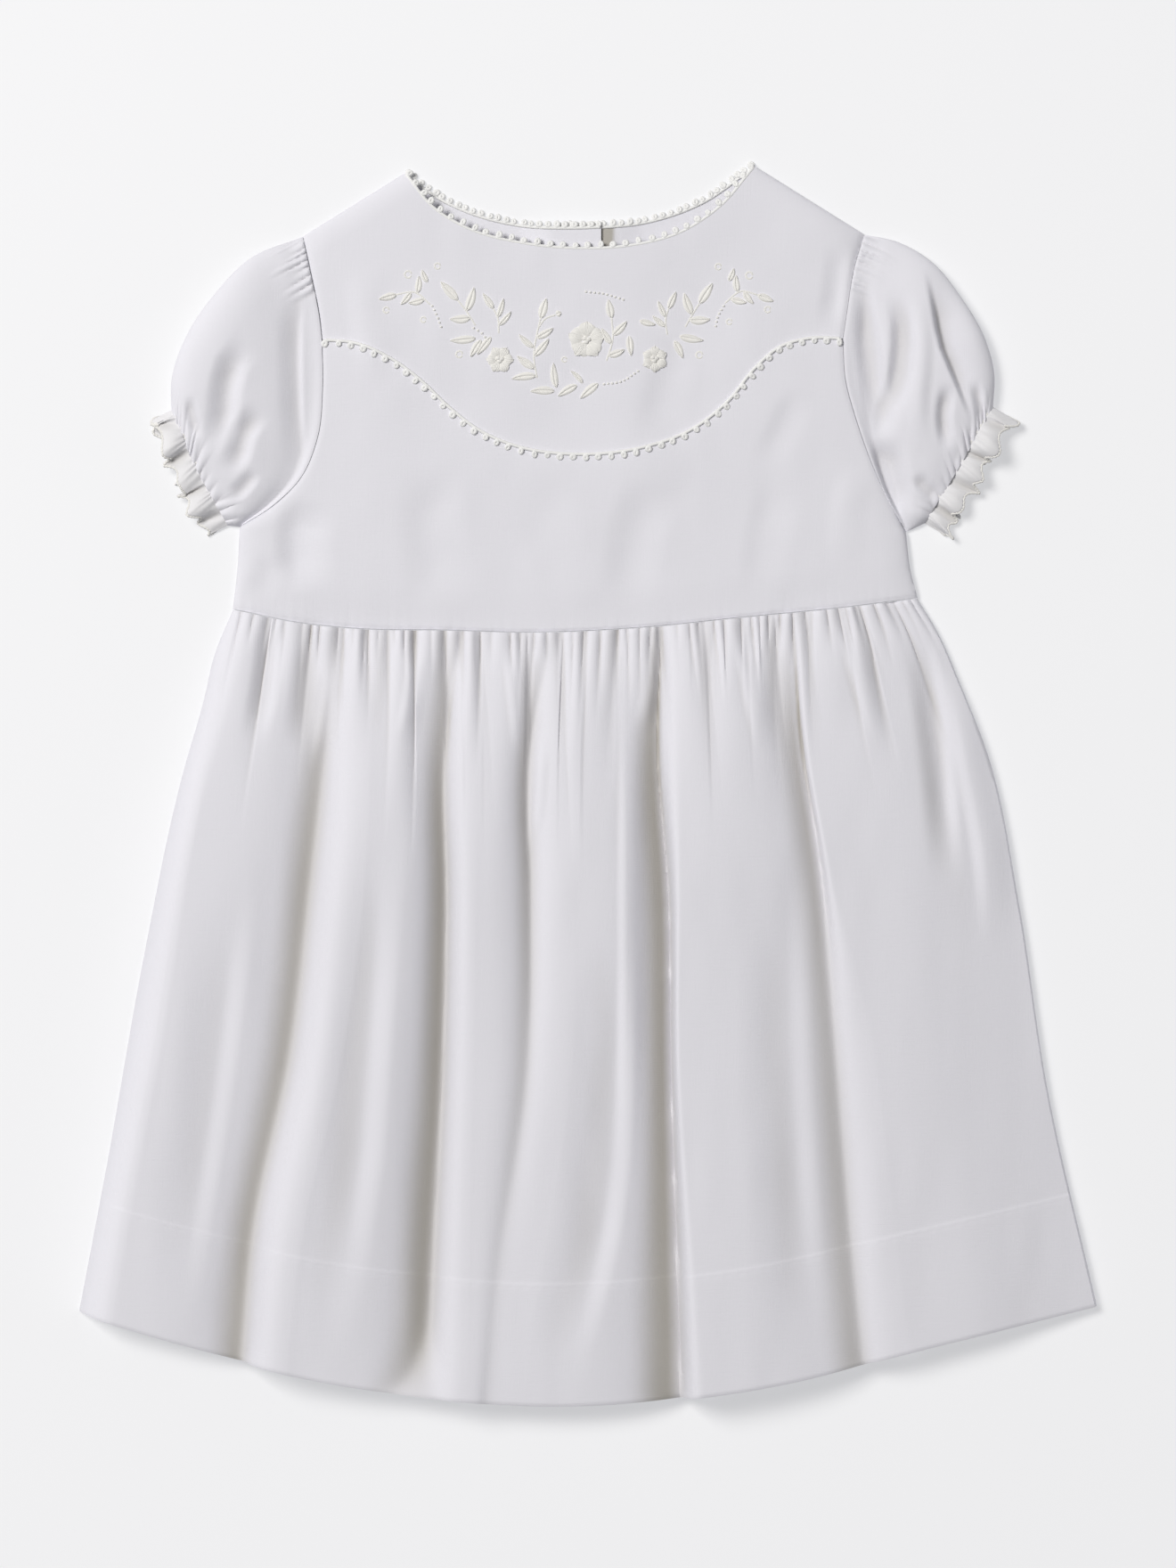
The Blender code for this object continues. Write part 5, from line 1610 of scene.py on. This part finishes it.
def shaded_notch(panel):
    """Paints shade into the colour where one back half dips under the end of the other at the neck."""
    places = np.empty(len(panel.data.vertices) * 3)
    panel.data.vertices.foreach_get("co", places)
    x, y, _ = (places.reshape(-1, 3) * 1000).T
    across = x - OVERLAP_RIGHT_EDGE
    deep = (1 - soft_step(NOTCH_WIDTH - 1, NOTCH_WIDTH + 1, across)) * soft_step(*NOTCH_HEIGHTS, y)
    deep[: len(deep) // 2] = 0
    panel.data.attributes["fold_shade_paint"].data.foreach_set("value", deep)


def overlocked(centre, radius):
    """Rows of points round an edge of a frill, in twisted thread."""
    run = np.roll(centre, -1, axis=0) - np.roll(centre, 1, axis=0)
    run /= np.linalg.norm(run, axis=1)[:, None]
    aside = np.cross(run, [0.0, 0.0, 1.0])
    aside /= np.linalg.norm(aside, axis=1)[:, None] + CORNER
    over = np.cross(aside, run)
    steps = np.arange(len(centre))
    grid = np.empty((len(centre), OVERLOCK_SIDES, 3))
    for k in range(OVERLOCK_SIDES):
        turn = 2 * math.pi * k / OVERLOCK_SIDES
        twist = np.cos(2 * math.pi * steps / OVERLOCK_PITCH + turn)
        wide = radius * (1 + OVERLOCK_TWIST * twist)
        grid[:, k] = centre + (aside * math.cos(turn) + over * math.sin(turn)) * wide[:, None]
    return grid


def frill_edges(sleeve, thread):
    """The overlocked edges of a frill."""
    u = np.linspace(0, 1, OVERLOCK_STEPS)
    vertices, faces = [], []
    for v, radius in OVERLOCKED:
        centre = frill_point(sleeve, u, np.full(u.shape, v))[:-1]
        centre[:, 2] = np.maximum(centre[:, 2] - FRILL_WALL / 2, OVERLOCK_CLEAR * radius)
        grid = overlocked(centre, radius)
        count = len(centre) * OVERLOCK_SIDES
        ring = quads(len(centre) + 1, OVERLOCK_SIDES, 0, True, False) % count
        faces += (ring + count * len(vertices)).tolist()
        vertices.append(grid.reshape(-1, 3))
    return as_object(f"frill_{sleeve.side}_overlock", np.vstack(vertices), faces, thread, 80)


def button_rows():
    """Radius and height of each ring of a button, over its face and back over its rear."""
    rows = [(ring.radius, BUTTON_THICKNESS - BUTTON_FACE_INSIDE - ring.rise) for ring in BUTTON_RINGS]
    for ring in reversed(BUTTON_RINGS):
        inside = BUTTON_BACK_INSIDE if ring.radius < BUTTON_BACK_EDGE else BUTTON_BACK_ROLL
        rows.append((ring.radius * BUTTON_BACK_SHARE, BUTTON_THICKNESS - inside))
    return rows


def button(number, height, material):
    """A small round button with a raised rim, lying on its face."""
    middle_x = (OVERLAP_LEFT_EDGE + OVERLAP_RIGHT_EDGE) / 2
    turns = np.linspace(0, 2 * math.pi, BUTTON_SIDES, endpoint=False)
    rows = button_rows()
    vertices = []
    for radius, z in rows:
        for turn in turns:
            vertices.append((middle_x + radius * math.cos(turn), height + radius * math.sin(turn), z))
    faces = quads(len(rows), BUTTON_SIDES, 0, True, False).tolist()
    faces.append(list(range(BUTTON_SIDES)))
    faces.append(list(range((len(rows) - 1) * BUTTON_SIDES, len(rows) * BUTTON_SIDES))[::-1])
    return as_object(f"pearl_button_{number}", np.array(vertices), faces, material, 40)


def even(count):
    """Shares from 0 to 1, evenly spaced."""
    return np.linspace(0, 1, count)


def build_panels(cotton):
    """The laid pieces, each by the CAD node that it replaces."""
    across, down = even(SKIRT_COLUMNS), skirt_rows()
    fine = {"step": COARSE}
    # The skirt front gets painted shade in its folds
    shaded = {"step": COARSE, "reaches": SKIRT_SHADE_PAINT}
    back = {"grows_up": True}
    left, right = partial(back_point, True), partial(back_point, False)
    half = (even(BACK_COLUMNS), even(BACK_ROWS), SKIRT_WALL)
    bodice = (even(BODICE_COLUMNS), spread(BODICE_ROWS, 2.0, 3.0), BODICE_WALL)
    yoke = (spread(YOKE_COLUMNS, 1.5, 1.5), spread(YOKE_ROWS, 1.0, 2.0), BODICE_WALL)
    skirt_back = (even(BODICE_COLUMNS), even(SKIRT_BACK_ROWS), SKIRT_WALL)
    table = {
        "skirt_front": (skirt_front_point, (across, down, SKIRT_WALL), shaded),
        "bodice_front": (bodice_front_point, bodice, fine),
        "yoke_front": (yoke_point, yoke, fine),
        "skirt_back": (skirt_back_point, skirt_back, back),
        "bodice_back_left": (left, half, back),
        "bodice_back_right": (right, half, back),
    }
    made = {}
    for node, (point, shares, options) in table.items():
        made[node] = laid_panel(node + "_cloth", point, *shares, cotton, **options)
    shaded_notch(made["bodice_back_right"])
    return made


def build_sleeve(sleeve, cotton, ribbon):
    """A sleeve and its frill, each by the CAD node that it replaces."""
    # Both the sleeve and its frill get painted shade in their folds
    tube = tube_piece(
        f"sleeve_{sleeve.side}_cloth",
        partial(sleeve_point, sleeve),
        even(SLEEVE_COLUMNS),
        spread(SLEEVE_ROWS, 3.0, 3.0),
        BODICE_WALL,
        cotton,
        sleeve.mirrored,
        SLEEVE_SHADE_PAINT,
    )
    frill = tube_piece(
        f"frill_{sleeve.side}_ribbon",
        partial(frill_point, sleeve),
        even(FRILL_COLUMNS),
        even(FRILL_ROWS),
        FRILL_WALL,
        ribbon,
        sleeve.mirrored,
        FRILL_SHADE_PAINT,
    )
    return {"sleeve_" + sleeve.side: tube, "frill_" + sleeve.side: frill}


def build_cloth(cotton, ribbon):
    """All the cut pieces of the dress, each by the CAD node that it replaces."""
    made = build_panels(cotton)
    for sleeve in SLEEVES:
        made.update(build_sleeve(sleeve, cotton, ribbon))
    return made


Lamp = namedtuple("Lamp", "name place size power colour")
LAMPS = [
    Lamp("window", (-1.575, 1.125, 3.0), 1.35, 117, (1.0, 0.985, 0.96)),
    Lamp("reflector", (1.6, -0.1, 0.3), 0.7, 3.5, (1.0, 0.99, 0.98)),
]
SKY_COLOUR = (0.97, 0.98, 1.0)
SKY_STRENGTH = 0.15
FLOOR_HALF = 3
CAMERA_HEIGHT = 2.5
FRAMED_HEIGHT = 0.5984
SENSOR_HEIGHT = 36


def lit():
    """Soft studio light from the upper left, with an even fill from all round."""
    world = bpy.data.worlds.new("studio")
    bpy.context.scene.world = world
    world.use_nodes = True
    sky = world.node_tree.nodes["Background"]
    fill_in(sky, {"Color": (*SKY_COLOUR, 1), "Strength": SKY_STRENGTH})
    for one in LAMPS:
        lamp(one)


def lamp(one):
    """A square soft lamp that points at the middle of the dress."""
    light = bpy.data.lights.new(one.name, "AREA")
    light.size, light.energy, light.color = one.size, one.power, one.colour
    made = in_scene(one.name, light)
    made.location = one.place
    x, y, z = one.place
    made.rotation_euler = (math.atan2(math.hypot(x, y), z), 0, math.atan2(x, -y))


def photographed():
    """The camera straight above the dress, and the pale floor under it."""
    mesh = bpy.data.meshes.new("floor")
    corners = [(x * FLOOR_HALF, y * FLOOR_HALF, 0) for x, y in ((-1, -1), (1, -1), (1, 1), (-1, 1))]
    mesh.from_pydata(corners, [], [range(4)])
    mesh.materials.append(pale_floor())
    floor = in_scene("floor", mesh)
    lens = bpy.data.cameras.new("camera")
    lens.sensor_fit = "VERTICAL"
    lens.sensor_height = SENSOR_HEIGHT
    lens.lens = SENSOR_HEIGHT * CAMERA_HEIGHT / FRAMED_HEIGHT
    made = in_scene("camera", lens)
    made.location = (0, 0, CAMERA_HEIGHT)
    bpy.context.scene.camera = made
    bpy.context.scene.view_settings.view_transform = "Standard"


def main():
    """Builds the dress over its solids, lights it and sets the camera."""
    weave = cloth_group()
    cotton = cloth("dress_cotton", COTTON, weave)
    ribbon = cloth("gathered_ribbon", RIBBON, weave)
    thread = cloth("ivory_thread", THREAD, weave)
    cord = cloth("cord_thread", CORD, weave)
    for node, piece in build_cloth(cotton, ribbon).items():
        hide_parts(node)
        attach(piece, "root")
    trims = {
        "yoke_picots": yoke_trim(cord),
        "neck_picots_front": front_neck_trim(cord),
        "neck_picots_back_left": back_neck_trim(True, cord),
        "neck_picots_back_right": back_neck_trim(False, cord),
    }
    for node, piece in trims.items():
        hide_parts(node)
        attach(piece, "root")
    for sleeve in SLEEVES:
        edges = frill_edges(sleeve, thread)
        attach(edges, "root")
    stitches = embroider(thread)
    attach(stitches, "root")
    shell = pearl("button_pearl_gloss")
    for number, height in enumerate(BUTTON_HEIGHTS, 1):
        piece = button(number, height, shell)
        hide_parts(f"button_{number}")
        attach(piece, "root")
    lit()
    photographed()


main()
